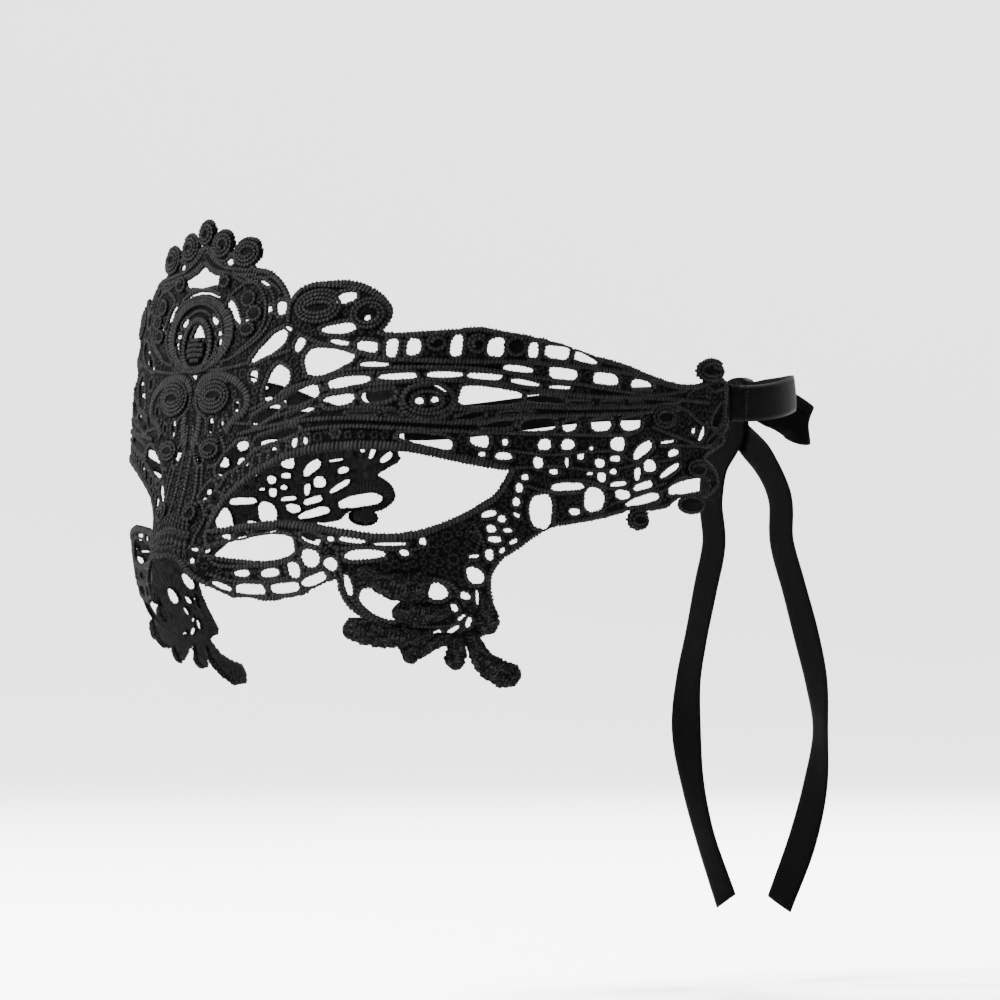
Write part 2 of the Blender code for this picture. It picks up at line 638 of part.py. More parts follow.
def build_knot():
    """The tied knot: a rounded block, wider than deep."""
    rings, sides = KNOT_RINGS, KNOT_SIDES
    rise = np.linspace(-np.pi / 2, np.pi / 2, rings + 2)[1:-1]
    turn = np.arange(sides) * 2 * np.pi / sides
    soft = KNOT_SOFTNESS
    flat = np.cos(rise)[:, None] ** soft
    x = flat * np.sign(np.cos(turn)) * np.abs(np.cos(turn)) ** soft
    y = flat * np.sign(np.sin(turn)) * np.abs(np.sin(turn)) ** soft
    z = (np.sign(np.sin(rise)) * np.abs(np.sin(rise)) ** soft)[:, None] + 0 * turn
    size = np.array((KNOT_WIDTH, KNOT_DEPTH, KNOT_HEIGHT)) / 2
    points = np.stack([x, y, z], axis=-1).reshape(-1, 3)
    points = np.concatenate([points, [(0, 0, -1), (0, 0, 1)]]) * size + knot_centre()
    faces = []
    bottom, top = rings * sides, rings * sides + 1
    for k in range(sides):
        n = (k + 1) % sides
        faces.append((bottom, n, k))
        faces.append((top, (rings - 1) * sides + k, (rings - 1) * sides + n))
        for r in range(rings - 1):
            low, high = r * sides, (r + 1) * sides
            faces.append((low + k, low + n, high + n, high + k))
    return add_part("bow_knot", points, faces, SATIN_COLOUR, SATIN_ROUGHNESS)


def build_loop(name, side):
    """A bow loop: the ribbon runs out from the knot, turns round an arc and comes back."""
    bend_half = LOOP_OPENING / 2
    run = np.linspace(0, 1, LOOP_SIDE_STATIONS, endpoint=False)
    side_out = run * (LOOP_LENGTH - bend_half)
    side_deep = LOOP_LAYERS / 2 + run * (bend_half - LOOP_LAYERS / 2)
    bend = np.linspace(np.pi / 2, -np.pi / 2, LOOP_BEND_STATIONS)
    bend_out = LOOP_LENGTH - bend_half * (1 - np.cos(bend))
    out = np.concatenate([side_out, bend_out, side_out[::-1]])
    deep = np.concatenate([side_deep, bend_half * np.sin(bend), -side_deep[::-1]])
    share = np.linspace(0, 1, len(out))
    far = out / LOOP_LENGTH
    knot = knot_centre()
    start = knot + (side * (KNOT_WIDTH / 2 + PART_GAP), KNOT_DEPTH / 2, 0)
    lift = -LOOP_DROOP * far ** 2 - LOOP_FALL * share
    centre = start + np.column_stack([side * out, LOOP_SWING * far + deep, lift])
    ahead = np.gradient(centre, axis=0)
    ahead /= np.linalg.norm(ahead, axis=1, keepdims=True)
    upright = np.array((0, 0, 1.0)) - ahead * ahead[:, 2:3]
    upright /= np.linalg.norm(upright, axis=1, keepdims=True)
    facing = np.cross(ahead, upright)
    thick = np.full(len(out), RIBBON_THICK)
    return strip(name, centre, upright * RIBBON_WIDTH / 2, facing, thick)


def build_tail(name, side):
    """A free ribbon end that hangs from the knot, swinging out and turning a little."""
    rows = smooth_rows(TAIL, np.linspace(0, 1, TAIL_STATIONS))
    knot = knot_centre()
    apart = (side - 1) * TAILS_APART / 2
    start = knot + (0, apart, -KNOT_HEIGHT / 2 - 3 * PART_GAP)
    centre = start + np.column_stack([side * rows[:, 1], rows[:, 2], -rows[:, 0]]) * TAIL_DROP
    turn = np.radians(rows[:, 3]) * side
    ahead = np.gradient(centre, axis=0)
    ahead /= np.linalg.norm(ahead, axis=1, keepdims=True)
    wide = np.column_stack([np.cos(turn), np.sin(turn), 0 * turn])
    wide -= ahead * np.sum(wide * ahead, axis=1, keepdims=True)
    wide /= np.linalg.norm(wide, axis=1, keepdims=True)
    facing = np.cross(ahead, wide)
    thick = np.full(TAIL_STATIONS, RIBBON_THICK)
    return strip(name, centre, wide * RIBBON_WIDTH / 2, facing, thick)


for item in list(bpy.data.objects):
    bpy.data.objects.remove(item, do_unlink=True)

build_lace()
build_band("ribbon_band_left", 1)
build_band("ribbon_band_right", -1)
build_knot()
build_loop("bow_loop_left", 1)
build_loop("bow_loop_right", -1)
build_tail("ribbon_tail_left", 1)
build_tail("ribbon_tail_right", -1)
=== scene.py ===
"""The dressed look of a black guipure lace mask that is tied on with a satin ribbon.

Chart places count millimetres on the lace: along the face curve from the mid-line, and
up from the nose arch. Every other length is in metres.
"""

import bpy
import numpy as np
from mathutils import Matrix, Vector


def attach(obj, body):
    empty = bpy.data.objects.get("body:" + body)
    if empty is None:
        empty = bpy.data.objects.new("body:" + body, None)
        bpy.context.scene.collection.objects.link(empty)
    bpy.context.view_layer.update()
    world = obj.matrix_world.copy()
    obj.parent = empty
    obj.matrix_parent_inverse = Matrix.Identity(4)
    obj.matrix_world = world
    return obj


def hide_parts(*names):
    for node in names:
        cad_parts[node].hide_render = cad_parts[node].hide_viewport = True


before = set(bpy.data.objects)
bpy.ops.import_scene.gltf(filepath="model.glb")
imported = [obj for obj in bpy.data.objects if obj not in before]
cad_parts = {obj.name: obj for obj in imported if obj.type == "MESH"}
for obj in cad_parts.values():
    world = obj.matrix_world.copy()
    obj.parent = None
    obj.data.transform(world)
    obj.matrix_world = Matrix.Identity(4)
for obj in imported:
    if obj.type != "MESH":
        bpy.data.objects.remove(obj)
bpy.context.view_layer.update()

# The view: from the wearer's front left and a little below, as the mask was photographed.
# A soft lamp stands high on the front right, a broader one high at the back, and the floor
# is a pale dish that rises all round, so that every side has the same plain ground.
VIEW_TURN = np.radians(50)
VIEW_RISE = np.radians(-2)
VIEW_DISTANCE = 1.2
VIEW_LENS = 155.52
VIEW_RIGHT = 0.09378
VIEW_UP = 0.01722
FLOOR_HEIGHT = -0.128
FLOOR_COLOUR = (0.93, 0.93, 0.925, 1.0)
SKY_COLOUR = (0.95, 0.96, 0.97, 1.0)


def look_from(turn, rise):
    """Unit vectors right, up and back of a camera at that turn and rise about the object."""
    back = Vector((np.sin(turn) * np.cos(rise), -np.cos(turn) * np.cos(rise), np.sin(rise)))
    right = Vector((np.cos(turn), np.sin(turn), 0))
    return right, back.cross(right), back


def add_camera():
    """The camera on the line of sight, square to it."""
    right, up, back = look_from(VIEW_TURN, VIEW_RISE)
    target = right * VIEW_RIGHT + up * VIEW_UP
    camera_data = bpy.data.cameras.new("view")
    camera_data.lens = VIEW_LENS
    camera_data.sensor_width = 36
    camera_data.clip_start = 0.01
    camera = bpy.data.objects.new("view", camera_data)
    turned = Matrix((right, up, back)).transposed().to_4x4()
    camera.matrix_world = Matrix.Translation(target + back * VIEW_DISTANCE) @ turned
    bpy.context.scene.collection.objects.link(camera)
    bpy.context.scene.camera = camera


def add_lamp(name, turn, rise, distance, size, watts):
    """A square lamp at a turn and rise about the object, facing it."""
    right, up, back = look_from(np.radians(turn), np.radians(rise))
    lamp_data = bpy.data.lights.new(name, "AREA")
    lamp_data.shape = "SQUARE"
    lamp_data.size = size
    lamp_data.energy = watts
    lamp = bpy.data.objects.new(name, lamp_data)
    turned = Matrix((right, up, back)).transposed().to_4x4()
    lamp.matrix_world = Matrix.Translation(back * distance + Vector((0, 0.08, 0))) @ turned
    bpy.context.scene.collection.objects.link(lamp)


def add_floor():
    """A dish of revolution: flat out to two metres, then a quarter round up to a wall."""
    out = np.linspace(0, 1, 12)
    bend = np.linspace(0, np.pi / 2, 13)
    radius = np.concatenate([2.2 * out[:-1], 2.2 + 1.2 * np.sin(bend), [3.4, 3.4]])
    height = np.concatenate([0 * out[:-1], 1.2 * (1 - np.cos(bend)), [2.2, 3.2]])
    radius[0] = 0.002
    turn = np.arange(64) * 2 * np.pi / 64
    x = radius[:, None] * np.cos(turn)
    y = radius[:, None] * np.sin(turn)
    z = (height + FLOOR_HEIGHT)[:, None] + 0 * turn
    points = np.stack([x, y, z], axis=-1).reshape(-1, 3)
    ring, step = np.meshgrid(np.arange(len(radius) - 1), np.arange(64), indexing="ij")
    near = ring * 64 + step
    beside = ring * 64 + (step + 1) % 64
    faces = np.stack([near, near + 64, beside + 64, beside], axis=-1).reshape(-1, 4)
    mesh = bpy.data.meshes.new("floor")
    mesh.from_pydata(points.tolist(), [], faces.tolist() + [list(range(64))])
    mesh.shade_smooth()
    floor = bpy.data.objects.new("floor", mesh)
    bpy.context.scene.collection.objects.link(floor)
    material = bpy.data.materials.new("pale_floor")
    material.use_nodes = True
    nodes = material.node_tree.nodes
    shader = nodes["Principled BSDF"]
    shader.inputs["Roughness"].default_value = 0.9
    place = nodes.new("ShaderNodeTexCoord")
    clouds = nodes.new("ShaderNodeTexNoise")
    clouds.inputs["Scale"].default_value = 1.3
    tint = nodes.new("ShaderNodeValToRGB")
    tint.color_ramp.elements[0].color = [0.985 * value for value in FLOOR_COLOUR]
    tint.color_ramp.elements[1].color = FLOOR_COLOUR
    link = material.node_tree.links.new
    link(place.outputs["Object"], clouds.inputs["Vector"])
    link(clouds.outputs["Fac"], tint.inputs["Fac"])
    link(tint.outputs["Color"], shader.inputs["Base Color"])
    mesh.materials.append(material)


add_camera()
add_lamp("front_lamp", -24, 40, 1.6, 0.45, 215)
add_lamp("back_lamp", 200, 45, 1.8, 0.8, 120)
add_floor()

world = bpy.data.worlds.new("soft_sky")
world.use_nodes = True
world.node_tree.nodes["Background"].inputs["Color"].default_value = SKY_COLOUR
world.node_tree.nodes["Background"].inputs["Strength"].default_value = 1.5
bpy.context.scene.world = world

# The lace ground: black thread stitched solid on a film that is washed away, then steamed
# to the curve of a face. It is one pierced sheet under a millimetre thick, and the corded
# work lies on it. Its openings and edge are drawn here on the chart.
FACE_HALF_WIDTH = 0.076
FACE_HALF_DEPTH = 0.096
BACK_STRETCH = 1.08
BRIDGE_DEPTH = 0.011
NOSE_HALF_WIDTH = 0.015
CROWN_RISE = 0.096
LACE_THICK = 0.0016
PETAL_RELIEF = 0.0011
GROUND_PITCH = 0.7         # the size of a square of the ground, mm
GROUND_BACK = 0.00035      # the sheet's back stands this far off the face curve
GROUND_FRONT = 0.00105
GROUND_EDGE = 0.42         # the ground ends under the cord at each edge, mm inside it
BAND_PITCH = 1.15          # the stitched bands of the ground follow its edges, mm

# Cross-sections of the face curve, as shares of the sizes above.
SECTIONS = (
    # up, front, half_width, half_depth, squareness, nose
    (-0.47, 1.82, 0.82, 0.94, 2.30, 1.64),
    (-0.21, 1.36, 0.89, 0.97, 2.40, 1.55),
    (-0.10, 1.14, 0.93, 0.98, 2.45, 1.36),
    (0.00, 1.00, 0.96, 0.99, 2.50, 1.00),
    (0.10, 0.95, 0.97, 0.99, 2.50, 0.62),
    (0.21, 0.95, 0.99, 0.99, 2.50, 0.29),
    (0.31, 0.97, 0.99, 1.00, 2.50, 0.09),
    (0.42, 1.03, 1.00, 1.00, 2.50, 0.02),
    (0.63, 1.18, 0.99, 0.99, 2.45, 0.00),
    (0.83, 1.36, 0.97, 0.97, 2.30, 0.00),
    (1.04, 1.59, 0.92, 0.94, 2.15, 0.00),
)

# The upper and lower edge from the mid-line to the end post. A corner is 1.
TOP_EDGE = (
    # along, up, corner
    (0, 89.6, 1), (6, 87.2, 0), (12.3, 86.4, 0), (17, 84.4, 0), (21.6, 81.2, 1),
    (26, 80.3, 0), (30, 77.6, 0), (32.6, 74.4, 0), (33.8, 72, 1),
    (36, 74.8, 0), (40, 76.4, 0), (45, 76.8, 0), (50, 76.9, 0), (55, 75.6, 0),
    (59.5, 73, 0), (62.7, 69.5, 0), (63, 66, 0), (60.8, 62.5, 1),
    (66, 62.3, 0), (73, 62.8, 0), (80, 63.4, 0), (87.5, 64.2, 0), (96, 63.1, 0),
    (105, 62, 0), (113, 60.6, 0), (120, 58.8, 0), (128, 57, 0), (135, 55.8, 0),
    (142, 54, 0), (150, 52, 0), (158, 50.8, 0), (165, 51, 1),
    (171, 53, 0), (175, 53.4, 0), (178, 52, 1), (178, 40.4, 1), (180, 39.4, 1),
)
LOW_EDGE = (
    # along, up, corner
    (0, 0, 1), (2, 0.5, 0), (4.6, 0.3, 0), (6.6, -1.2, 0), (9, -4.2, 0),
    (13, -7, 0), (18.5, -9.9, 0), (23, -10.2, 0), (28.5, -10.8, 0), (34, -10.2, 0),
    (39, -9.2, 0), (44, -6.9, 0), (49.2, -4.8, 1),
    (49, -8, 0), (50.4, -12, 0), (53.4, -15.2, 0), (58, -17.8, 1),
    (64, -20, 0), (72, -22.5, 0), (80, -23.5, 0), (86, -20.5, 1),
    (90.6, -18.5, 0), (91.4, -12, 0), (92.2, -5, 0), (96, 0, 0), (102, 3.5, 0),
    (107, 6.8, 0), (114, 9.8, 0), (120, 10.7, 0), (127, 11.8, 0), (134, 13.2, 0),
    (141, 14.7, 0), (149, 15, 0), (154.5, 15.9, 0), (158.5, 18.2, 0),
    (164, 18.8, 0), (170, 18.9, 0), (174.6, 21.3, 0), (175.9, 24, 0),
    (174, 27.4, 0), (169, 30.2, 1), (173.5, 32.6, 0), (177.6, 34.8, 0),
    (177, 37.6, 1), (180, 39.4, 1),
)

# Round forms. Those that are coiled have a core of so many millimetres left open.
ROUNDS = (
    # along, up, half_along, half_up, core
    (0, 92.2, 3.9, 3.9, 0.4),
    (7.6, 88.6, 4.6, 4.2, 0.4),
    (17.6, 85.6, 5.2, 4.4, 0.4),
    (10.5, 78.2, 2.8, 2.6, 0.3),
    (20, 72.6, 2.4, 2.2, 1.3),
    (22.6, 68.4, 2.4, 2.1, 1.3),
    (20.6, 64.2, 2.5, 1.8, 1.1),
    (42.6, 69.4, 7.2, 5.0, 0.4),
    (56.6, 67.2, 5.2, 4.6, 1.4),
    (9.6, 46, 7.2, 5.4, 0.4),
    (9.8, 31, 4.4, 3.2, 0.4),
    (6.4, 13.2, 2.8, 3.0, 0.4),
    (75, 44.2, 7.0, 4.4, 3.4),
    (76, 59.4, 3.2, 2.8, 0.4),
    (87.2, 59.2, 3.2, 3.0, 0.4),
    (98.6, 59, 3.0, 2.6, 0.4),
    (169.8, 55, 6.2, 3.6, 0.4),
    (143.4, 12.2, 4.3, 3.2, 0.4),
    (164, 17, 5.2, 2.4, 0.4),
    (166, 27, 4.4, 2.8, 0.4),
    (152, 41, 5.0, 3.4, 0.4),
)
PETALS = (
    # root_along, root_up, tip_along, tip_up, bend, root_half, tip_half
    (70.6, -19.8, 51.4, -18.4, 1.6, 1.8, 3.5),
    (76, -20.9, 64.4, -24.8, -0.6, 1.5, 3.0),
    (78.4, -21, 76.2, -26.8, 0.3, 1.9, 3.0),
    (82.8, -20.5, 91.2, -31.2, -2.6, 2.1, 3.6),
    (88.8, -9.4, 88.2, -16.6, 0.3, 1.2, 3.3),
    (77.6, -13, 65.6, -13.5, 0.9, 1.7, 3.2),
    (57, -2.6, 70.6, -6.7, -1.8, 1.9, 4.0),
)

# The larger openings. Roundness 2 is an ellipse, 4 nearly a rectangle.
GAPS = (
    # along, up, half_long, half_high, tilt, taper, roundness
    (14.7, 69.2, 4.2, 1.3, -50, -0.3, 2.0),
    (31.3, 69.6, 1.5, 1.9, 0, 0.0, 2.6),
    (28.2, 58.6, 6.6, 2.0, 34, 0.6, 2.2),
    (49.8, 71.9, 2.7, 1.5, 15, 0.0, 2.4),
    (48.8, 63.4, 4.8, 1.3, 6, 0.3, 2.4),
    (46.9, 54.7, 7.3, 3.3, 6, -0.4, 2.2),
    (57.4, 58.4, 2.7, 1.4, -8, 0.0, 3.4),
    (64, 58, 1.6, 2.5, 0, 0.0, 3.0),
    (69.8, 58.3, 2.0, 2.2, 0, 0.0, 2.6),
    (81.6, 58.8, 1.7, 2.9, 0, 0.0, 3.0),
    (93, 58.7, 2.4, 2.7, 0, 0.0, 3.0),
    (104.4, 58.2, 1.5, 2.3, 0, 0.0, 3.0),
    (112.2, 57.9, 3.9, 1.9, -6, 0.0, 3.4),
    (121.8, 56.5, 4.0, 1.1, -14, -0.3, 3.0),
    (114.6, 52, 4.9, 1.6, -3, 0.0, 3.6),
    (129.5, 51.1, 4.6, 1.6, -2, 0.0, 3.6),
    (142.8, 50.1, 3.7, 1.3, -4, -0.2, 3.0),
    (52.9, 48.8, 5.5, 1.4, 9, 0.0, 3.0),
    (66.5, 50.2, 5.2, 0.8, 3, 0.0, 3.0),
    (90.5, 50.5, 5.2, 0.8, -3, 0.0, 3.0),
    (31.8, 48.7, 5.0, 3.1, 58, 0.2, 2.4),
    (40.2, 45.1, 5.2, 1.9, 22, 0.0, 3.0),
    (50.6, 43.7, 4.5, 1.4, 10, 0.0, 2.8),
    (61.4, 44.9, 4.2, 1.6, 8, 0.0, 3.2),
    (92.4, 45, 9.0, 2.6, -2, -0.2, 3.4),
    (109.2, 44.7, 6.0, 1.1, -3, 0.0, 3.2),
    (29, 40.2, 4.7, 1.5, 27, 0.1, 2.6),
    (95, 37.4, 5.0, 0.9, 6, 0.4, 2.4),
    (107.7, 37.7, 5.5, 1.7, 4, 0.0, 3.4),
    (118, 37.7, 2.5, 1.4, 20, 0.0, 2.6),
    (128.8, 38.3, 3.7, 1.6, 6, 0.1, 2.8),
    (139.8, 39.1, 3.8, 1.9, 12, 0.0, 2.8),
    (32.6, 34.1, 7.2, 1.2, 15, 0.0, 3.0),
    (18.6, 28.4, 6.4, 2.7, 35, 0.1, 2.6),
    (74.6, 33, 8.2, 1.5, -9, 0.5, 2.4),
    (90, 33, 2.7, 1.7, -10, 0.0, 3.0),
    (4.8, 29.6, 2.9, 1.1, -62, 0.0, 2.6),
    (10.6, 19.3, 3.2, 1.2, 52, 0.0, 2.6),
    (26, 3.5, 12.8, 3.3, 5, 0.3, 2.2),
    (43.4, 6.1, 2.6, 1.4, -20, 0.0, 2.4),
    (42.8, 0.8, 2.4, 2.5, 0, 0.0, 2.2),
    (58, 1.7, 5.6, 1.2, 2, -0.2, 2.4),
    (37.6, -2.3, 1.8, 2.0, 0, 0.0, 2.8),
    (23.9, -7.5, 4.2, 1.4, -2, 0.0, 3.4),
    (34, -7.2, 4.2, 1.4, 4, 0.0, 3.2),
    (42.9, -5, 4.0, 1.2, 22, 0.0, 2.8),
    (59.8, -11.3, 5.6, 3.9, -28, 0.0, 2.2),
    (75.9, -8.2, 2.7, 2.3, 20, 0.0, 2.2),
    (109.2, 13.9, 3.5, 5.0, 0, 0.0, 2.6),
    (118, 20.8, 5.3, 1.1, 3, 0.0, 3.0),
    (127.2, 17.5, 3.8, 3.2, 0, 0.0, 2.4),
    (145, 17.8, 6.4, 1.2, 14, 0.3, 2.8),
    (145.4, 21.7, 3.8, 1.0, 15, 0.0, 3.2),
    (144.6, 31.8, 4.0, 1.6, 32, 0.0, 2.6),
    (163, 21.9, 8.2, 1.9, 10, 0.1, 2.6),
    (174.7, 42.6, 3.8, 1.9, 66, -0.4, 2.2),
)

# Small openings between the cords.
PIN_GAPS = (
    # along, up, half_long, half_high, tilt
    (11, 83.5, 1.2, 0.9, 0), (16.7, 82.6, 0.9, 0.4, 0), (24.8, 76.8, 1.8, 0.4, -28),
    (7, 67.2, 1.6, 0.9, -35), (9.5, 63.6, 1.2, 0.6, 0), (10, 60.5, 0.8, 1.5, 0),
    (10, 55.3, 1.0, 0.6, 0), (20, 66.5, 0.8, 0.6, 0), (38.2, 59.3, 2.1, 1.3, 60),
    (34.2, 63.8, 1.2, 0.5, -30), (56.4, 66.3, 0.8, 0.7, 0), (49.6, 59.6, 2.7, 0.6, -12),
    (59.5, 53.4, 3.7, 0.7, 0), (79, 50.8, 5.0, 0.8, 0), (102.5, 49.1, 4.6, 0.7, -8),
    (114, 48.2, 3.8, 0.4, 0), (100.2, 52.9, 4.5, 0.9, -4), (24.2, 51, 1.4, 1.6, 0),
    (121, 44.2, 3.8, 0.45, 0), (132, 44.5, 3.8, 0.5, 3), (141, 45, 2.2, 0.3, 0),
    (39.8, 40.3, 4.2, 0.7, 18), (57.2, 40.2, 4.2, 0.45, 0), (65.5, 40.1, 2.3, 0.6, -15),
    (87, 39.6, 4.5, 0.8, 12), (100, 40.8, 5.0, 0.35, 5), (72.6, 43.5, 1.1, 0.9, 0),
    (76.8, 43.9, 1.0, 0.7, 0), (18.7, 42.8, 0.8, 1.5, 0), (8.8, 37.6, 0.9, 2.4, 0),
    (13.3, 37.8, 0.6, 1.2, 0), (13.5, 17.2, 1.4, 1.8, 0), (17, 19.2, 1.0, 0.5, 55),
    (12, 13.7, 0.7, 1.0, 0), (19.9, 23.2, 0.7, 1.5, -10), (23.6, 25.2, 0.8, 1.6, -10),
    (26.7, 27.3, 0.8, 1.6, -10), (29.3, 28.4, 0.8, 1.6, -8), (32.3, 29.7, 0.8, 1.6, -8),
    (35.2, 31.2, 0.8, 1.5, -6), (38.6, 32.3, 0.8, 1.4, -6), (42, 33.1, 0.8, 1.3, -4),
    (50.2, 34.8, 0.9, 0.9, 0), (17.7, 6.6, 1.3, 0.8, 0), (22.2, 7.2, 1.7, 1.1, 10),
    (29.5, 8.2, 3.8, 0.6, 4), (48.8, 5.9, 1.0, 0.6, 0), (54.8, 5.7, 3.6, 0.8, -5),
    (48.3, -0.8, 1.7, 1.8, 45), (30.3, -3.1, 2.9, 1.1, 5), (22, -3.2, 2.1, 0.9, 0),
    (16.5, -6.8, 2.4, 0.7, -25), (9.3, 1.6, 1.3, 2.2, 0), (57.5, -2.3, 1.2, 0.5, 0),
    (52, -6.5, 0.9, 3.0, 0), (87.6, -3.8, 2.7, 2.1, -8), (83.5, -9.3, 1.5, 1.0, 0),
    (82.8, -16.5, 1.8, 0.6, 55), (72.5, -19.5, 2.0, 0.4, 20), (109.9, 32.3, 2.2, 1.5, 0),
    (117.6, 32.5, 2.2, 1.5, 0), (97.5, 32.7, 0.9, 0.9, 0), (108, 27.2, 1.6, 1.6, 0),
    (117.5, 27.5, 0.7, 1.4, 0), (97.2, 28.8, 2.6, 1.0, 0), (113.2, 24.8, 1.5, 0.7, 0),
    (104, 23.1, 1.1, 0.8, 0), (102.2, 20.2, 1.2, 1.2, 0), (101.3, 16.4, 1.2, 1.1, 0),
    (93, 13, 2.4, 0.8, 10), (96.8, 11.7, 1.3, 0.9, 0), (93.5, 8.9, 1.4, 1.1, 0),
    (94.5, 6, 2.0, 0.8, 0), (98.5, 8.5, 1.3, 0.6, 0), (122.2, 29.3, 1.2, 0.9, 0),
    (129, 27.6, 1.8, 1.3, 0), (134.6, 29, 1.9, 0.9, 0), (134, 25.4, 1.3, 0.8, 0),
    (129.8, 23.7, 1.7, 1.3, 0), (136, 22, 3.0, 0.7, 6), (137.6, 19.1, 2.9, 1.3, 0),
    (135.3, 33.2, 2.6, 2.1, 0), (147.6, 27.4, 2.3, 1.9, 0), (143, 25, 1.3, 1.8, 0),
    (120.4, 14.1, 2.0, 0.9, -5), (156.5, 31.3, 2.2, 1.0, 15), (153.8, 34.3, 3.0, 0.4, 8),
    (155.5, 26.3, 4.0, 1.0, 28), (164.2, 37.8, 0.9, 0.8, 0), (168, 37.5, 2.6, 0.9, 60),
    (172.8, 35.7, 2.7, 1.0, 30), (169.4, 48.8, 0.5, 1.1, 0), (100.2, 5.4, 1.5, 0.5, 20),
    (96.6, 3, 1.0, 0.6, 30), (92.6, 1.8, 1.3, 1.4, 0), (88, 1.3, 1.6, 0.4, 5),
    (73.8, 5.2, 0.9, 1.0, 0), (68.6, 2.2, 1.2, 0.8, 0), (79.6, -12.6, 1.2, 1.0, 0),
    (87, -9.8, 0.45, 2.0, -12), (77.8, -18.6, 2.4, 0.45, 28), (81, -15.3, 1.5, 0.3, 30),
    (65, 4.5, 4.4, 0.35, 0), (90.8, 29.2, 1.1, 0.6, 0), (125.8, 31.6, 0.8, 0.6, 0),
    (125.6, 24.6, 1.2, 0.4, 0), (101.4, 12.8, 1.1, 0.5, -30), (27.4, 69.4, 0.7, 0.9, 0),
    (78.2, 47.1, 2.0, 0.3, -30),
)

# Openings on the mid-line, as their right-hand halves from the top down.
CENTRE_GAPS = (
    # along, up
    ((0, 83.2), (2.4, 81.3), (5.4, 80.2), (8.6, 79.4), (7, 77.4), (0, 76.8)),
    ((0, 75.9), (4, 75.4), (8.1, 73.9), (8.2, 73.4), (4, 74.7), (0, 75.1)),
    ((0, 66.6), (1.6, 65.2), (3, 62.7), (0, 62.9)),
    ((0, 50.2), (2.9, 52.6), (0, 52.8)),
)
EYE_HOLE = (
    # along, lower, upper
    (13, 9, 9), (16, 9.2, 14.8), (20, 9.9, 19), (26, 10.6, 23), (34, 11, 26.8),
    (43, 10.3, 29.2), (52, 8.8, 30), (62, 7.4, 30.2), (72, 8.3, 29.2),
    (82, 11.6, 27.2), (90, 15.6, 25.8), (96, 20, 25), (99, 24.8, 24.8),
)


def smooth_rows(rows, at):
    """Every column of a table at the places given, by a smooth cubic through its rows."""
    table = np.array(rows, dtype=float)
    place = table[:, 0]
    slope = np.gradient(table, place, axis=0)
    low = np.clip(np.searchsorted(place, at) - 1, 0, len(place) - 2)
    step = place[low + 1] - place[low]
    share = np.clip((at - place[low]) / step, 0, 1)[:, None]
    step = step[:, None]
    start = (2 * share ** 3 - 3 * share ** 2 + 1) * table[low]
    leave = (share ** 3 - 2 * share ** 2 + share) * step * slope[low]
    end = (3 * share ** 2 - 2 * share ** 3) * table[low + 1]
    arrive = (share ** 3 - share ** 2) * step * slope[low + 1]
    return start + leave + end + arrive


def face_grid():
    """Points of the face curve: a flattened oval at each height, by arc length, with the
    nose bridge added as a bell curve at the front. The last value is the arc length from
    the mid-line to the middle of the back."""
    heights = np.linspace(SECTIONS[0][0], SECTIONS[-1][0], 121)
    arcs = np.linspace(0, np.pi * FACE_HALF_DEPTH * BACK_STRETCH, 581)
    turn = np.linspace(0, np.pi, 721)
    across, deep, rounds = [], [], []
    for row in smooth_rows(SECTIONS, heights):
        half_width = row[2] * FACE_HALF_WIDTH
        power = 2 / row[4]
        x = half_width * np.abs(np.sin(turn)) ** power
        reach = np.sign(np.cos(turn)) * np.abs(np.cos(turn)) ** power
        stretch = np.where(reach > 0, 1, BACK_STRETCH)
        y = row[1] * BRIDGE_DEPTH + row[3] * FACE_HALF_DEPTH * (1 - stretch * reach)
        arc = np.concatenate([[0], np.cumsum(np.hypot(np.diff(x), np.diff(y)))])
        bump = row[5] * BRIDGE_DEPTH * np.exp(-(x / NOSE_HALF_WIDTH) ** 2)
        y = y - bump * (turn < np.pi / 2)
        across.append(np.interp(arcs, arc, x))
        deep.append(np.interp(arcs, arc, y))
        rounds.append(arc[-1])
    return heights * CROWN_RISE, arcs, np.array(across), np.array(deep), np.array(rounds)


HEIGHTS, ARCS, ACROSS, DEEP, HALF_ROUNDS = face_grid()


def face_point(along, up):
    """Points on the face curve, by arc length from the mid-line and height, both in metres."""
    row = np.clip(np.interp(up, HEIGHTS, np.arange(len(HEIGHTS))), 0, len(HEIGHTS) - 1.001)
    column = np.clip(np.abs(along) / ARCS[1], 0, len(ARCS) - 1.001)
    i, j = row.astype(int), column.astype(int)
    fi, fj = row - i, column - j
    blended = []
    for grid in (ACROSS, DEEP):
        low = grid[i, j] * (1 - fj) + grid[i, j + 1] * fj
        high = grid[i + 1, j] * (1 - fj) + grid[i + 1, j + 1] * fj
        blended.append(low * (1 - fi) + high * fi)
    return np.stack([np.sign(along) * blended[0], blended[1], up], axis=-1)


def face_normal(along, up):
    """Unit normals of the face curve, pointing away from the head."""
    small = 0.001
    side = face_point(along + small, up) - face_point(along - small, up)
    rise = face_point(along, up + small) - face_point(along, up - small)
    normal = np.cross(side, rise)
    return normal / np.linalg.norm(normal, axis=-1, keepdims=True)


def smooth_line(points, steps):
    """A smooth line through the points, with so many steps between two of them."""
    points = np.array(points, dtype=float)
    if len(points) < 3:
        return points
    numbered = np.column_stack([np.arange(len(points)), points])
    at = np.linspace(0, len(points) - 1, (len(points) - 1) * steps + 1)
    return smooth_rows(numbered, at)[:, 1:]


def edge_line(rows):
    """An edge of the chart: smooth runs that meet at its corners."""
    line, run = [], []
    for along, up, corner in rows:
        run.append((along, up))
        if corner and len(run) > 1:
            line.extend(smooth_line(run, 4)[:-1])
            run = [(along, up)]
    line.append(run[-1])
    return np.array(line)


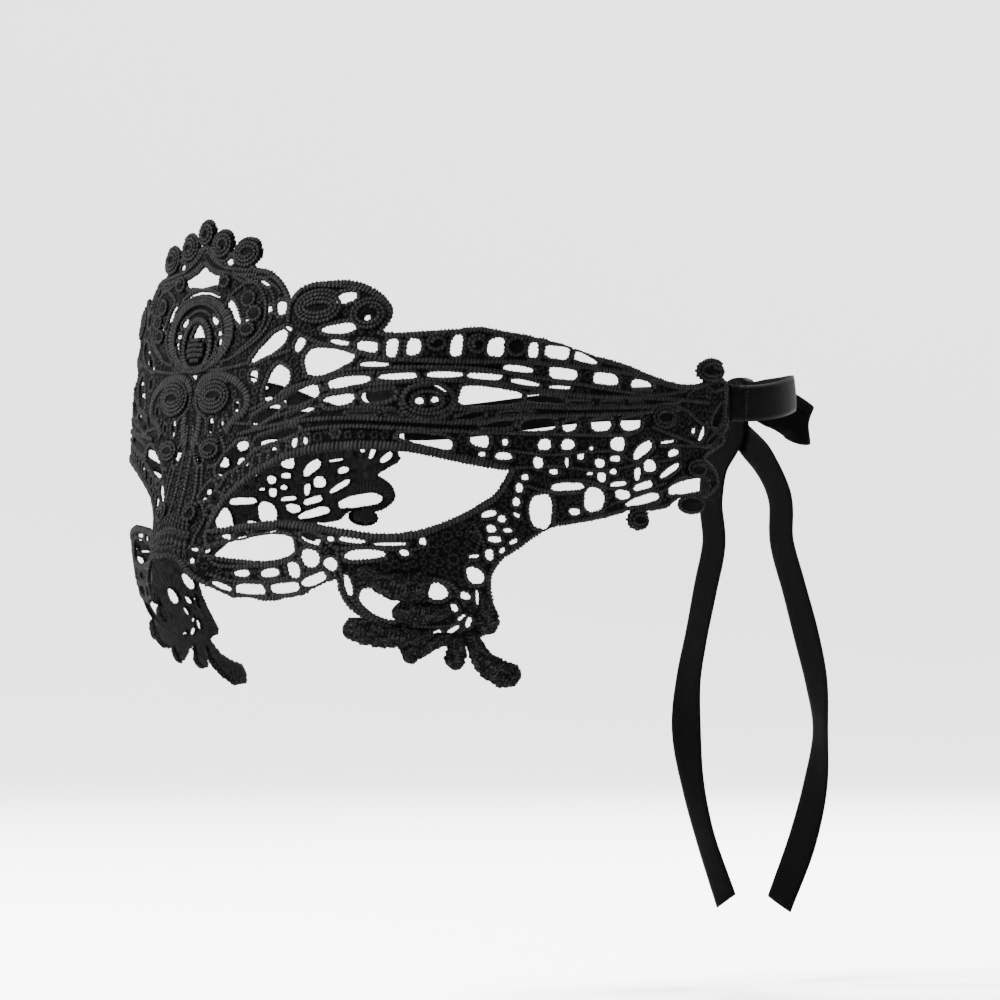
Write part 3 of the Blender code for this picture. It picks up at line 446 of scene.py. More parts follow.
def oval_line(along, up, half_along, half_up, count=40):
    """A closed oval round a place, anticlockwise."""
    turn = np.arange(count) * 2 * np.pi / count
    return np.column_stack([along + half_along * np.cos(turn), up + half_up * np.sin(turn)])


def gap_line(along, up, half_long, half_high, tilt, taper=0.0, roundness=2.3):
    """A rounded opening: between an oval and a slot, wider at one end, tilted, and made
    uneven by slow waves round it, as hand-guided stitching is."""
    count = int(np.clip(12 + 5 * half_long, 16, 64))
    turn = (np.arange(count) + 0.5) * 2 * np.pi / count
    x = np.sign(np.cos(turn)) * np.abs(np.cos(turn)) ** (2 / roundness)
    y = np.sign(np.sin(turn)) * np.abs(np.sin(turn)) ** (2 / roundness)
    hand = np.random.default_rng(int(along * 100 + abs(up) * 10))
    start = hand.uniform(0, 2 * np.pi, 3)
    uneven = 1 + 0.05 * np.sin(2 * turn + start[0]) + 0.045 * np.sin(3 * turn + start[1])
    uneven += 0.02 * np.sin(7 * turn + start[2])
    y = half_high * y * (1 + taper * x) * uneven
    x = half_long * x * uneven
    angle = np.radians(tilt)
    return np.column_stack([
        along + x * np.cos(angle) - y * np.sin(angle),
        up + x * np.sin(angle) + y * np.cos(angle),
    ])


def eye_line():
    """The eye hole on the wearer's left, anticlockwise from its inner corner."""
    at = np.linspace(EYE_HOLE[0][0], EYE_HOLE[-1][0], 60)
    rows = smooth_rows(EYE_HOLE, at)
    return np.concatenate([rows[:, :2], rows[1:-1][::-1][:, (0, 2)]])


def petal_spine(root_along, root_up, tip_along, tip_up, bend, root_half, tip_half, count=24):
    """The middle line of a petal and its half widths, wider towards its round tip."""
    share = np.linspace(0, 1, count)
    root = np.array((root_along, root_up), dtype=float)
    run = np.array((tip_along, tip_up), dtype=float) - root
    left = np.array((-run[1], run[0])) / np.hypot(*run)
    spine = root + share[:, None] * run + (4 * bend * share * (1 - share))[:, None] * left
    half = root_half + (tip_half - root_half) * np.sin(share * np.pi / 2)
    return spine, half


def depth_inside(points, line):
    """Distance from each point to a closed line, positive inside it, and the place along
    the line that is nearest: the least distance to its sides, signed by how often a level
    line to the right crosses them."""
    end = np.roll(line, -1, axis=0)
    side = end - line
    length = np.hypot(*side.T)
    before = np.concatenate([[0], np.cumsum(length)])[:-1]
    offset = points[:, None] - line
    share = np.clip(np.sum(offset * side, axis=-1) / np.maximum(length ** 2, 1e-9), 0, 1)
    apart = np.hypot(*np.moveaxis(offset - share[..., None] * side, -1, 0))
    nearest = np.argmin(apart, axis=1)
    every = np.arange(len(points))
    place = before[nearest] + share[every, nearest] * length[nearest]
    over = (line[:, 1] > points[:, 1:]) != (end[:, 1] > points[:, 1:])
    rise = np.where(np.abs(side[:, 1]) < 1e-9, 1e-9, side[:, 1])
    meets = line[:, 0] + (points[:, 1:] - line[:, 1]) / rise * side[:, 0]
    inside = np.sum(over & (points[:, :1] < meets), axis=1) % 2 == 1
    return np.where(inside, 1, -1) * apart[every, nearest], place


TOP_LINE = edge_line(TOP_EDGE)
LOW_LINE = edge_line(LOW_EDGE)
RIGHT_HALF = np.concatenate([LOW_LINE, TOP_LINE[::-1][1:]])
BODY_LINE = np.concatenate([RIGHT_HALF, RIGHT_HALF[1:-1][::-1] * (-1, 1)])
EYE_LINE = eye_line()
GAP_LINES = [gap_line(*row) for row in GAPS]
PIN_LINES = [gap_line(*row) for row in PIN_GAPS]
CENTRE_LINES = []
for half_shape in CENTRE_GAPS:
    right_side = np.array(half_shape, dtype=float)
    left_side = right_side[1:-1][::-1] * (-1, 1)
    CENTRE_LINES.append(np.concatenate([right_side, left_side])[::-1])


def chart_fields(points):
    """At each chart point of the right half: the depth of stitching, which is the distance
    to the nearest edge and negative in an opening, and the place along that edge."""
    solid = np.full(len(points), -9.0)
    place = np.zeros(len(points))
    for first in range(0, len(points), 4000):
        part = slice(first, first + 4000)
        solid[part], place[part] = depth_inside(points[part], BODY_LINE)
    for along, up, half_along, half_up, core in ROUNDS:
        line = oval_line(along, up, half_along, half_up)
        near = np.max(np.abs(points - (along, up)), axis=1) < half_along + 4
        depth, round_place = depth_inside(points[near], line)
        place[near] = np.where(depth > solid[near], round_place, place[near])
        solid[near] = np.maximum(solid[near], depth)
    for row in PETALS:
        spine, half = petal_spine(*row)
        near = np.flatnonzero(np.max(np.abs(points - spine.mean(axis=0)), axis=1) < 18)
        apart = np.hypot(*np.moveaxis(points[near, None] - spine, -1, 0)) - half
        depth = -np.min(apart, axis=1)
        place[near] = np.where(depth > solid[near], np.argmin(apart, axis=1), place[near])
        solid[near] = np.maximum(solid[near], depth)
    for line in GAP_LINES + PIN_LINES + CENTRE_LINES + [EYE_LINE]:
        low, high = line.min(axis=0) - 4, line.max(axis=0) + 4
        near = np.flatnonzero(np.all((points > low) & (points < high), axis=1))
        depth, gap_place = depth_inside(points[near], line)
        closer = -depth < solid[near]
        place[near] = np.where(closer, gap_place, place[near])
        solid[near] = np.minimum(solid[near], -depth)
    return solid, place


def relief_at(points):
    """How far each chart point stands out, as a share of the relief: domes and ridges. A
    round with a wide core is a flat ring."""
    height = np.zeros(len(points))
    for along, up, half_along, half_up, core in ROUNDS:
        if core > 2:
            continue
        offset = (points - (along, up)) / (half_along, half_up)
        height = np.maximum(height, np.sqrt(np.clip(1 - np.sum(offset ** 2, axis=1), 0, 1)))
    for row in PETALS:
        spine, half = petal_spine(*row)
        near = np.flatnonzero(np.max(np.abs(points - spine.mean(axis=0)), axis=1) < 18)
        apart = np.hypot(*np.moveaxis(points[near, None] - spine, -1, 0)) / half
        ridge = np.sqrt(np.clip(1 - np.min(apart, axis=1) ** 2, 0, 1))
        height[near] = np.maximum(height[near], ridge)
    return height


GRID_ALONG = np.arange(0, 262) * GROUND_PITCH
GRID_UP = np.arange(-50, 141) * GROUND_PITCH
chart_grid = np.stack(np.meshgrid(GRID_ALONG, GRID_UP), axis=-1)
grid_depth, grid_place = chart_fields(chart_grid.reshape(-1, 2))
grid_depth = grid_depth.reshape(chart_grid.shape[:2])
grid_place = grid_place.reshape(chart_grid.shape[:2])


def room_at(points):
    """The depth of stitching at any chart points, read between the squares of the grid."""
    column = np.clip(np.abs(points[:, 0]) / GROUND_PITCH, 0, grid_depth.shape[1] - 1.001)
    row = np.clip(points[:, 1] / GROUND_PITCH + 50, 0, grid_depth.shape[0] - 1.001)
    i, j = row.astype(int), column.astype(int)
    fi, fj = row - i, column - j
    low = grid_depth[i, j] * (1 - fj) + grid_depth[i, j + 1] * fj
    high = grid_depth[i + 1, j] * (1 - fj) + grid_depth[i + 1, j + 1] * fj
    return low * (1 - fi) + high * fi


def strand_group():
    """Thread seen close: fine strands laid side by side. A wave gives the wraps, a noise
    squeezed along one way gives strands, and a slower noise their uneven colour. The wave
    also paints each wrap's crest lighter and its valleys darker, a painted highlight and
    painted shade, and the sides of a cord, where its rise is low, are painted darker than
    its back, as painted shade."""
    group = bpy.data.node_groups.new("laid_strands", "ShaderNodeTree")
    socket = group.interface.new_socket
    socket("Along", in_out="INPUT", socket_type="NodeSocketFloat")
    socket("Across", in_out="INPUT", socket_type="NodeSocketFloat")
    socket("Stitch", in_out="INPUT", socket_type="NodeSocketFloat").default_value = 0.6
    socket("Rise", in_out="INPUT", socket_type="NodeSocketFloat").default_value = 1.0
    socket("Ribs", in_out="INPUT", socket_type="NodeSocketFloat").default_value = 0.4
    socket("Fine", in_out="INPUT", socket_type="NodeSocketFloat").default_value = 4.0
    socket("Height", in_out="OUTPUT", socket_type="NodeSocketFloat")
    socket("Tint", in_out="OUTPUT", socket_type="NodeSocketFloat")
    nodes, link = group.nodes, group.links.new
    start = nodes.new("NodeGroupInput")
    end = nodes.new("NodeGroupOutput")
    turns = nodes.new("ShaderNodeMath")
    turns.operation = "DIVIDE"
    angle = nodes.new("ShaderNodeMath")
    angle.operation = "MULTIPLY"
    angle.inputs[1].default_value = 2 * np.pi
    wave = nodes.new("ShaderNodeMath")
    wave.operation = "COSINE"
    rib = nodes.new("ShaderNodeMath")
    rib.operation = "MULTIPLY_ADD"
    rib.inputs[1].default_value = 0.3
    rib.inputs[2].default_value = 0.3
    place = nodes.new("ShaderNodeCombineXYZ")
    squeeze = nodes.new("ShaderNodeCombineXYZ")
    finer = nodes.new("ShaderNodeMath")
    finer.operation = "MULTIPLY"
    strands = nodes.new("ShaderNodeTexNoise")
    strands.inputs["Scale"].default_value = 1.0
    strands.inputs["Detail"].default_value = 3.0
    slow = nodes.new("ShaderNodeTexNoise")
    slow.inputs["Scale"].default_value = 0.45
    slow.inputs["Detail"].default_value = 2.0
    swell = nodes.new("ShaderNodeMath")
    swell.operation = "MULTIPLY"
    height = nodes.new("ShaderNodeMath")
    height.operation = "MULTIPLY_ADD"
    height.inputs[1].default_value = 0.25
    mixed = nodes.new("ShaderNodeMath")
    mixed.operation = "MULTIPLY_ADD"
    mixed.inputs[1].default_value = 0.62
    share = nodes.new("ShaderNodeMath")
    share.operation = "MULTIPLY"
    share.inputs[1].default_value = 0.25
    # Painted highlight and shade: the crest of each wrap is lighter than the valleys between.
    crest = nodes.new("ShaderNodeMath")
    crest.operation = "ADD"
    # Painted shade: the sides of a cord, where its rise is low, are darker than its back.
    back = nodes.new("ShaderNodeMapRange")
    back.interpolation_type = "SMOOTHSTEP"
    back.inputs["From Min"].default_value = -0.1
    back.inputs["From Max"].default_value = 0.95
    back.inputs["To Min"].default_value = 0.3
    shaded = nodes.new("ShaderNodeMath")
    shaded.operation = "MULTIPLY"
    link(start.outputs["Along"], turns.inputs[0])
    link(start.outputs["Stitch"], turns.inputs[1])
    link(turns.outputs[0], angle.inputs[0])
    link(angle.outputs[0], wave.inputs[0])
    link(wave.outputs[0], rib.inputs[0])
    link(start.outputs["Along"], place.inputs["X"])
    link(start.outputs["Across"], place.inputs["Y"])
    link(start.outputs["Along"], finer.inputs[0])
    link(start.outputs["Fine"], finer.inputs[1])
    link(finer.outputs[0], squeeze.inputs["X"])
    link(start.outputs["Across"], squeeze.inputs["Y"])
    link(squeeze.outputs[0], strands.inputs["Vector"])
    link(place.outputs[0], slow.inputs["Vector"])
    link(strands.outputs["Fac"], height.inputs[0])
    link(rib.outputs[0], swell.inputs[0])
    link(start.outputs["Ribs"], swell.inputs[1])
    link(swell.outputs[0], height.inputs[2])
    link(slow.outputs["Fac"], share.inputs[0])
    link(strands.outputs["Fac"], mixed.inputs[0])
    link(share.outputs[0], mixed.inputs[2])
    link(swell.outputs[0], crest.inputs[0])
    link(mixed.outputs[0], crest.inputs[1])
    link(height.outputs[0], end.inputs["Height"])
    link(start.outputs["Rise"], back.inputs["Value"])
    link(crest.outputs[0], shaded.inputs[0])
    link(back.outputs[0], shaded.inputs[1])
    link(shaded.outputs[0], end.inputs["Tint"])
    return group


STRANDS = strand_group()


def thread_material(name, dark, light, stitch, depth, ribs=0.4, fine=4.0, corded=True,
                    low=0.32, high=0.78):
    """Black thread: colour and bump from the laid strands, on the piece's own map. On a
    cord the map's second value is its rise, which paints shade on the cord's sides. Tints
    from low to high go from dark to light."""
    material = bpy.data.materials.new(name)
    material.use_nodes = True
    nodes, link = material.node_tree.nodes, material.node_tree.links.new
    shader = nodes["Principled BSDF"]
    shader.inputs["Sheen Weight"].default_value = 0.004
    shader.inputs["Sheen Roughness"].default_value = 0.4
    shader.inputs["IOR"].default_value = 1.08
    shader.inputs["Specular IOR Level"].default_value = 0.3
    thread_map = nodes.new("ShaderNodeUVMap")
    thread_map.uv_map = "thread"
    parts = nodes.new("ShaderNodeSeparateXYZ")
    strands = nodes.new("ShaderNodeGroup")
    strands.node_tree = STRANDS
    strands.inputs["Stitch"].default_value = stitch
    strands.inputs["Ribs"].default_value = ribs
    strands.inputs["Fine"].default_value = fine
    tint = nodes.new("ShaderNodeValToRGB")
    tint.color_ramp.elements[0].position = low
    tint.color_ramp.elements[0].color = (*dark, 1)
    tint.color_ramp.elements[1].position = high
    tint.color_ramp.elements[1].color = (*light, 1)
    rough = nodes.new("ShaderNodeMapRange")
    rough.inputs["To Min"].default_value = 0.58
    rough.inputs["To Max"].default_value = 0.82
    bump = nodes.new("ShaderNodeBump")
    bump.inputs["Strength"].default_value = 0.85
    bump.inputs["Distance"].default_value = depth
    link(thread_map.outputs["UV"], parts.inputs[0])
    link(parts.outputs["X"], strands.inputs["Along"])
    link(parts.outputs["Y"], strands.inputs["Across"])
    # On a cord, the rise paints shade on its sides.
    if corded:
        link(parts.outputs["Y"], strands.inputs["Rise"])
    link(strands.outputs["Tint"], tint.inputs["Fac"])
    link(tint.outputs["Color"], shader.inputs["Base Color"])
    link(strands.outputs["Tint"], rough.inputs["Value"])
    link(rough.outputs[0], shader.inputs["Roughness"])
    link(strands.outputs["Height"], bump.inputs["Height"])
    link(bump.outputs["Normal"], shader.inputs["Normal"])
    return material


def add_piece(name, points, faces, corner_map, material):
    """One object from points in metres, faces, and a map in millimetres at each corner."""
    mesh = bpy.data.meshes.new(name)
    mesh.from_pydata(points.tolist(), [], faces)
    layer = mesh.uv_layers.new(name="thread")
    layer.data.foreach_set("uv", np.asarray(corner_map, dtype=np.float32).ravel())
    mesh.materials.append(material)
    mesh.shade_smooth()
    piece = bpy.data.objects.new(name, mesh)
    bpy.context.scene.collection.objects.link(piece)
    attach(piece, "root")
    return piece


def build_ground():
    """The ground as squares of the chart that lie inside the stitching: a front sheet, a
    back sheet, and a wall wherever a square has no neighbour. The bands of the front follow
    its edges, and the stitches of the back run square to them. The front is painted far
    darker than the back, as painted shade in the ground between the cords."""
    along = np.concatenate([-GRID_ALONG[:0:-1], GRID_ALONG])
    depth = np.concatenate([grid_depth[:, :0:-1], grid_depth], axis=1)
    place = np.concatenate([grid_place[:, :0:-1], grid_place], axis=1)
    middle = (depth[1:, 1:] + depth[1:, :-1] + depth[:-1, 1:] + depth[:-1, :-1]) / 4
    kept = middle > GROUND_EDGE
    rows, columns = depth.shape
    chart = np.stack(np.meshgrid(along, GRID_UP), axis=-1).reshape(-1, 2)
    relief = relief_at(np.abs(chart) * (1, 0) + chart * (0, 1))
    inner = face_point(chart[:, 0] / 1000, chart[:, 1] / 1000)
    normal = face_normal(chart[:, 0] / 1000, chart[:, 1] / 1000)
    front = inner + normal * (GROUND_FRONT + 0.75 * PETAL_RELIEF * relief)[:, None]
    back = inner + normal * GROUND_BACK
    points = np.concatenate([front, back])
    count = rows * columns
    i, j = np.nonzero(kept)
    a = i * columns + j
    square = np.stack([a, a + 1, a + 1 + columns, a + columns], axis=-1)
    faces = [square, square[:, ::-1] + count]
    padded_cells = np.pad(kept, 1)
    sides = (
        (padded_cells[:-2, 1:-1], 0, 1), (padded_cells[1:-1, 2:], 1, 2),
        (padded_cells[2:, 1:-1], 2, 3), (padded_cells[1:-1, :-2], 3, 0),
    )
    for neighbour, first, second in sides:
        bare = kept & ~neighbour
        p, q = np.nonzero(bare)
        corner = p * columns + q
        ring = np.stack([corner, corner + 1, corner + 1 + columns, corner + columns], axis=-1)
        low, high = ring[:, first], ring[:, second]
        faces.append(np.stack([high, low, low + count, high + count], axis=-1))
    faces = np.concatenate(faces)
    used, renumbered = np.unique(faces, return_inverse=True)
    bands = np.column_stack([place.ravel(), depth.ravel()])
    bands = np.concatenate([bands, bands])
    corner_map = bands[faces]
    # Painted shade: the front and the walls are the thread painted far darker than the back
    # sheet.
    material = thread_material(
        "ground_thread", (0.0002, 0.0002, 0.0002), (0.0015, 0.0015, 0.0015), BAND_PITCH, 0.0006,
        0.1, corded=False)
    back_material = thread_material(
        "back_thread", (0.0003, 0.0003, 0.0003), (0.0075, 0.0074, 0.0072), BAND_PITCH, 0.0006,
        0.3, corded=False, low=0.36, high=0.7)
    at_back = slice(len(square), 2 * len(square))
    turned_map = corner_map[..., ::-1].copy()
    turned_map[at_back] = corner_map[at_back]
    ground = add_piece("lace_ground", points[used], renumbered.reshape(-1, 4).tolist(),
                       turned_map, material)
    ground.data.materials.append(back_material)
    material_numbers = np.zeros(len(faces), dtype=np.int32)
    material_numbers[at_back] = 1
    ground.data.polygons.foreach_set("material_index", material_numbers)
    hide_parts("lace_mask")


build_ground()

# The corded edges: each opening is bound by a satin-stitched cord, worked over a padding
# thread, which stands proud of the ground and shows fine ribs across it.
STITCH = 1.05              # one group of wraps along a cord, mm
RING_STEP = 0.35           # the rings that draw a cord are this far apart, mm
RIB_SHARE = 0.2            # a group of wraps stands out of its cord by this share
PETAL_GRAIN = 1.4          # the grain of a form that isn't ribbed, round it, per mm
STITCH_SLANT = 0.35        # the wraps lean this much along the cord
CORD_WIDTH = 1.45          # mm
CORD_HEIGHT = 1.15         # mm
PIN_CORD_WIDTH = 1.15
PIN_CORD_HEIGHT = 1.0
EYE_CORD_WIDTH = 1.9
EYE_RAIL_WIDTH = 2.7       # over the eye the binding widens to a rail
EYE_LID_WIDTH = 2.4        # and under it a little less
CORD_LIFT = 0.0008         # the middle of a cord above the face curve


def resampled(line, step, closed):
    """A line walked in equal steps: its columns by arc length over the first two."""
    line = np.asarray(line, dtype=float)
    if closed:
        line = np.concatenate([line, line[:1]])
    arc = np.concatenate([[0], np.cumsum(np.hypot(*np.diff(line[:, :2], axis=0).T))])
    count = max(4, int(round(arc[-1] / step)))
    count += count % 2 if closed else 0
    at = np.linspace(0, arc[-1], count + 1)
    if closed:
        at = at[:-1]
    return np.column_stack([np.interp(at, arc, column) for column in line.T])


def beside(line, shift, closed=True):
    """A line moved to its right by a shift, square to it: outwards round an opening."""
    if closed:
        ahead = np.roll(line, -1, axis=0) - np.roll(line, 1, axis=0)
    else:
        ahead = np.gradient(line, axis=0)
    ahead /= np.maximum(np.hypot(*ahead.T), 1e-9)[:, None]
    right = np.column_stack([ahead[:, 1], -ahead[:, 0]])
    return line + right * np.reshape(shift, (-1, 1))


laid_cords = []


def cord_mesh(chart, width, height, lift, closed, sides, knobs=0.0, ribs=1.0):
    """A cord along chart points: rings of a flattened round that lean along the cord. Their
    size follows a cosine, one wave for each group of wraps, whose phase wanders and whose
    strength changes by a seeded share, and broad forms have small seeded knobs.

    Returns its points, its faces as rows of four, and a corner map: millimetres along it,
    and the sine of the turn, which is 1 on its back, or a length round a form that isn't
    ribbed. Width and height are millimetres, lift is metres. Its place and half width are
    noted in the list above."""
    count = len(chart)
    laid_cords.append(np.column_stack([chart[:, :2], np.broadcast_to(width, count) / 2]))
    along, up = chart[:, 0] / 1000, chart[:, 1] / 1000
    middle = face_point(along, up)
    out = face_normal(along, up)
    if closed:
        ahead = np.roll(middle, -1, axis=0) - np.roll(middle, 1, axis=0)
    else:
        ahead = np.gradient(middle, axis=0)
    ahead -= out * np.sum(ahead * out, axis=1, keepdims=True)
    ahead /= np.maximum(np.linalg.norm(ahead, axis=1, keepdims=True), 1e-12)
    across = np.cross(out, ahead)
    rough = np.random.default_rng(int(abs(chart[0, 0]) * 97 + abs(chart[0, 1]) * 31 + count))
    walked = np.arange(count + 1) * RING_STEP + np.cumsum(rough.normal(0, 0.05, count + 1))
    strength = rough.uniform(0.35, 1.45, count // 3 + 1).repeat(3)[:count]
    rib = RIB_SHARE * ribs * strength * np.cos(2 * np.pi * walked[:-1] / STITCH)
    width = np.broadcast_to(width, count)
    height = np.broadcast_to(height, count)
    ragged = ribs * rough.normal(0, 1, count)
    thin = np.minimum(1, 1.8 / np.maximum(width, 0.3))
    width = width * (1 + thin * (1.5 * rib + 0.05 * ragged)) / 2000
    height = height * (1 + rib + 0.05 * ragged) / 2000
    turn = (np.arange(sides) + 0.5) * 2 * np.pi / sides
    flat = np.where(np.sin(turn) < 0, 0.62, 1.0)
    lift = np.broadcast_to(lift, count)
    slant = ahead * (np.minimum(width, 0.0008) * STITCH_SLANT)[:, None]
    knob = rough.normal(0, 1, (count // 2 + 1, sides)).repeat(2, axis=0)[:count]
    knob = 1 + knobs * np.clip(knob, -1.6, 1.6)
    points = (
        (middle + out * lift[:, None])[:, None]
        + (across * width[:, None] + slant)[:, None] * (np.cos(turn) * knob)[..., None]
        + (out * height[:, None])[:, None] * (np.sin(turn) * flat * knob)[..., None]
    )
    rings = count if closed else count - 1
    i, k = np.meshgrid(np.arange(rings), np.arange(sides), indexing="ij")
    i, k = i.ravel(), k.ravel()
    after, beyond = (i + 1) % count, (k + 1) % sides
    faces = np.stack([i * sides + k, i * sides + beyond,
                      after * sides + beyond, after * sides + k], axis=-1)
    here, there = walked[i], walked[i + 1]
    from_below = np.mod(turn + np.pi / 2, 2 * np.pi)
    grain = PETAL_GRAIN * np.mean(width) * 1000 * from_below
    rise = np.sin(turn) if ribs > 0.3 else grain
    corner_map = np.stack([
        np.stack([here, rise[k]], axis=-1), np.stack([here, rise[beyond]], axis=-1),
        np.stack([there, rise[beyond]], axis=-1), np.stack([there, rise[k]], axis=-1),
    ], axis=1)
    last = (count - 1) * sides
    ends = [np.arange(sides)[::-1], np.arange(last, last + sides)]
    return points.reshape(-1, 3), faces, corner_map, [] if closed else ends


def add_cords(name, cords, material, replaced="lace_mask"):
    """Many cords as one piece. An open cord has a flat face at both ends."""
    points, faces, maps, ends = [], [], [], []
    first = 0
    for cord_points, cord_faces, corner_map, end_faces in cords:
        points.append(cord_points)
        faces.append(cord_faces + first)
        maps.append(corner_map.reshape(-1, 2))
        ends += [(end + first).tolist() for end in end_faces]
        first += len(cord_points)
    end_map = np.zeros((sum(len(end) for end in ends), 2))
    piece = add_piece(name, np.concatenate(points), np.concatenate(faces).tolist() + ends,
                      np.concatenate(maps + [end_map]), material)
    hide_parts(replaced)
    return piece


def mirror_image(cord):
    """A finished cord on the other side of the mid-line, its faces turned to stay outward."""
    points, faces, corner_map, ends = cord
    return points * (-1, 1, 1), faces[:, ::-1], corner_map[:, ::-1], [end[::-1] for end in ends]


def with_mirror(cords):
    """Each finished cord and its mirror image."""
    return cords + [mirror_image(cord) for cord in cords]


def binding(line, width, height, sides):
    """The cord round an opening: its inner side on the opening's edge, and narrower where
    the next opening is near."""
    path = resampled(line, RING_STEP, True)
    probe = 0.7
    room = room_at(beside(path, probe)) + probe
    width = np.minimum(width, np.clip(room, 0.55, 9))
    path = beside(path, np.broadcast_to(width, len(path)) / 2 - 0.08)
    return cord_mesh(path, width, height, CORD_LIFT, True, sides)


cord_thread = thread_material(
    "cord_thread", (0.0003, 0.0003, 0.0003), (0.0108, 0.0107, 0.0104), STITCH, 0.0007)
petal_thread = thread_material(
    "petal_thread", (0.0002, 0.0002, 0.0002), (0.0125, 0.0124, 0.0121), STITCH, 0.002,
    0.06, 2.0, False, 0.42, 0.6)
# Painted shade: the filling is the cords' thread painted darker, as shade among the close wheels.
wheel_thread = thread_material(
    "wheel_thread", (0.0003, 0.0003, 0.0003), (0.0066, 0.0065, 0.0064), STITCH, 0.0006)
gap_cords = []
for gap_row in GAP_LINES:
    gap_cords += with_mirror([binding(gap_row, CORD_WIDTH, CORD_HEIGHT, 8)])
for centre_row in CENTRE_LINES:
    gap_cords.append(binding(centre_row, CORD_WIDTH, CORD_HEIGHT, 8))
add_cords("gap_bindings", gap_cords, cord_thread)

pin_cords = []
for pin_row in PIN_LINES:
    pin_cords += with_mirror([binding(pin_row, PIN_CORD_WIDTH, PIN_CORD_HEIGHT, 6)])
add_cords("pin_bindings", pin_cords, cord_thread)


def eye_cord(line):
    """The cord round the eye hole, which widens over the eye and under its middle."""
    path = resampled(line, RING_STEP, True)
    over = np.clip((path[:, 1] - 20) / 6, 0, 1)
    over *= np.clip((path[:, 0] - 30) / 18, 0, 1) * np.clip((99 - path[:, 0]) / 8, 0, 1)
    under = (path[:, 1] < 12) * np.clip((path[:, 0] - 34) / 10, 0, 1)
    under *= np.clip((80 - path[:, 0]) / 8, 0, 1)
    width = EYE_CORD_WIDTH + (EYE_RAIL_WIDTH - EYE_CORD_WIDTH) * over
    width += (EYE_LID_WIDTH - EYE_CORD_WIDTH) * under
    path = beside(path, width / 2 - 0.08)
    return cord_mesh(path, width, 1.5, CORD_LIFT + 0.0001, True, 10, 0.02)


add_cords("eye_bindings", with_mirror([eye_cord(EYE_LINE)]), cord_thread)

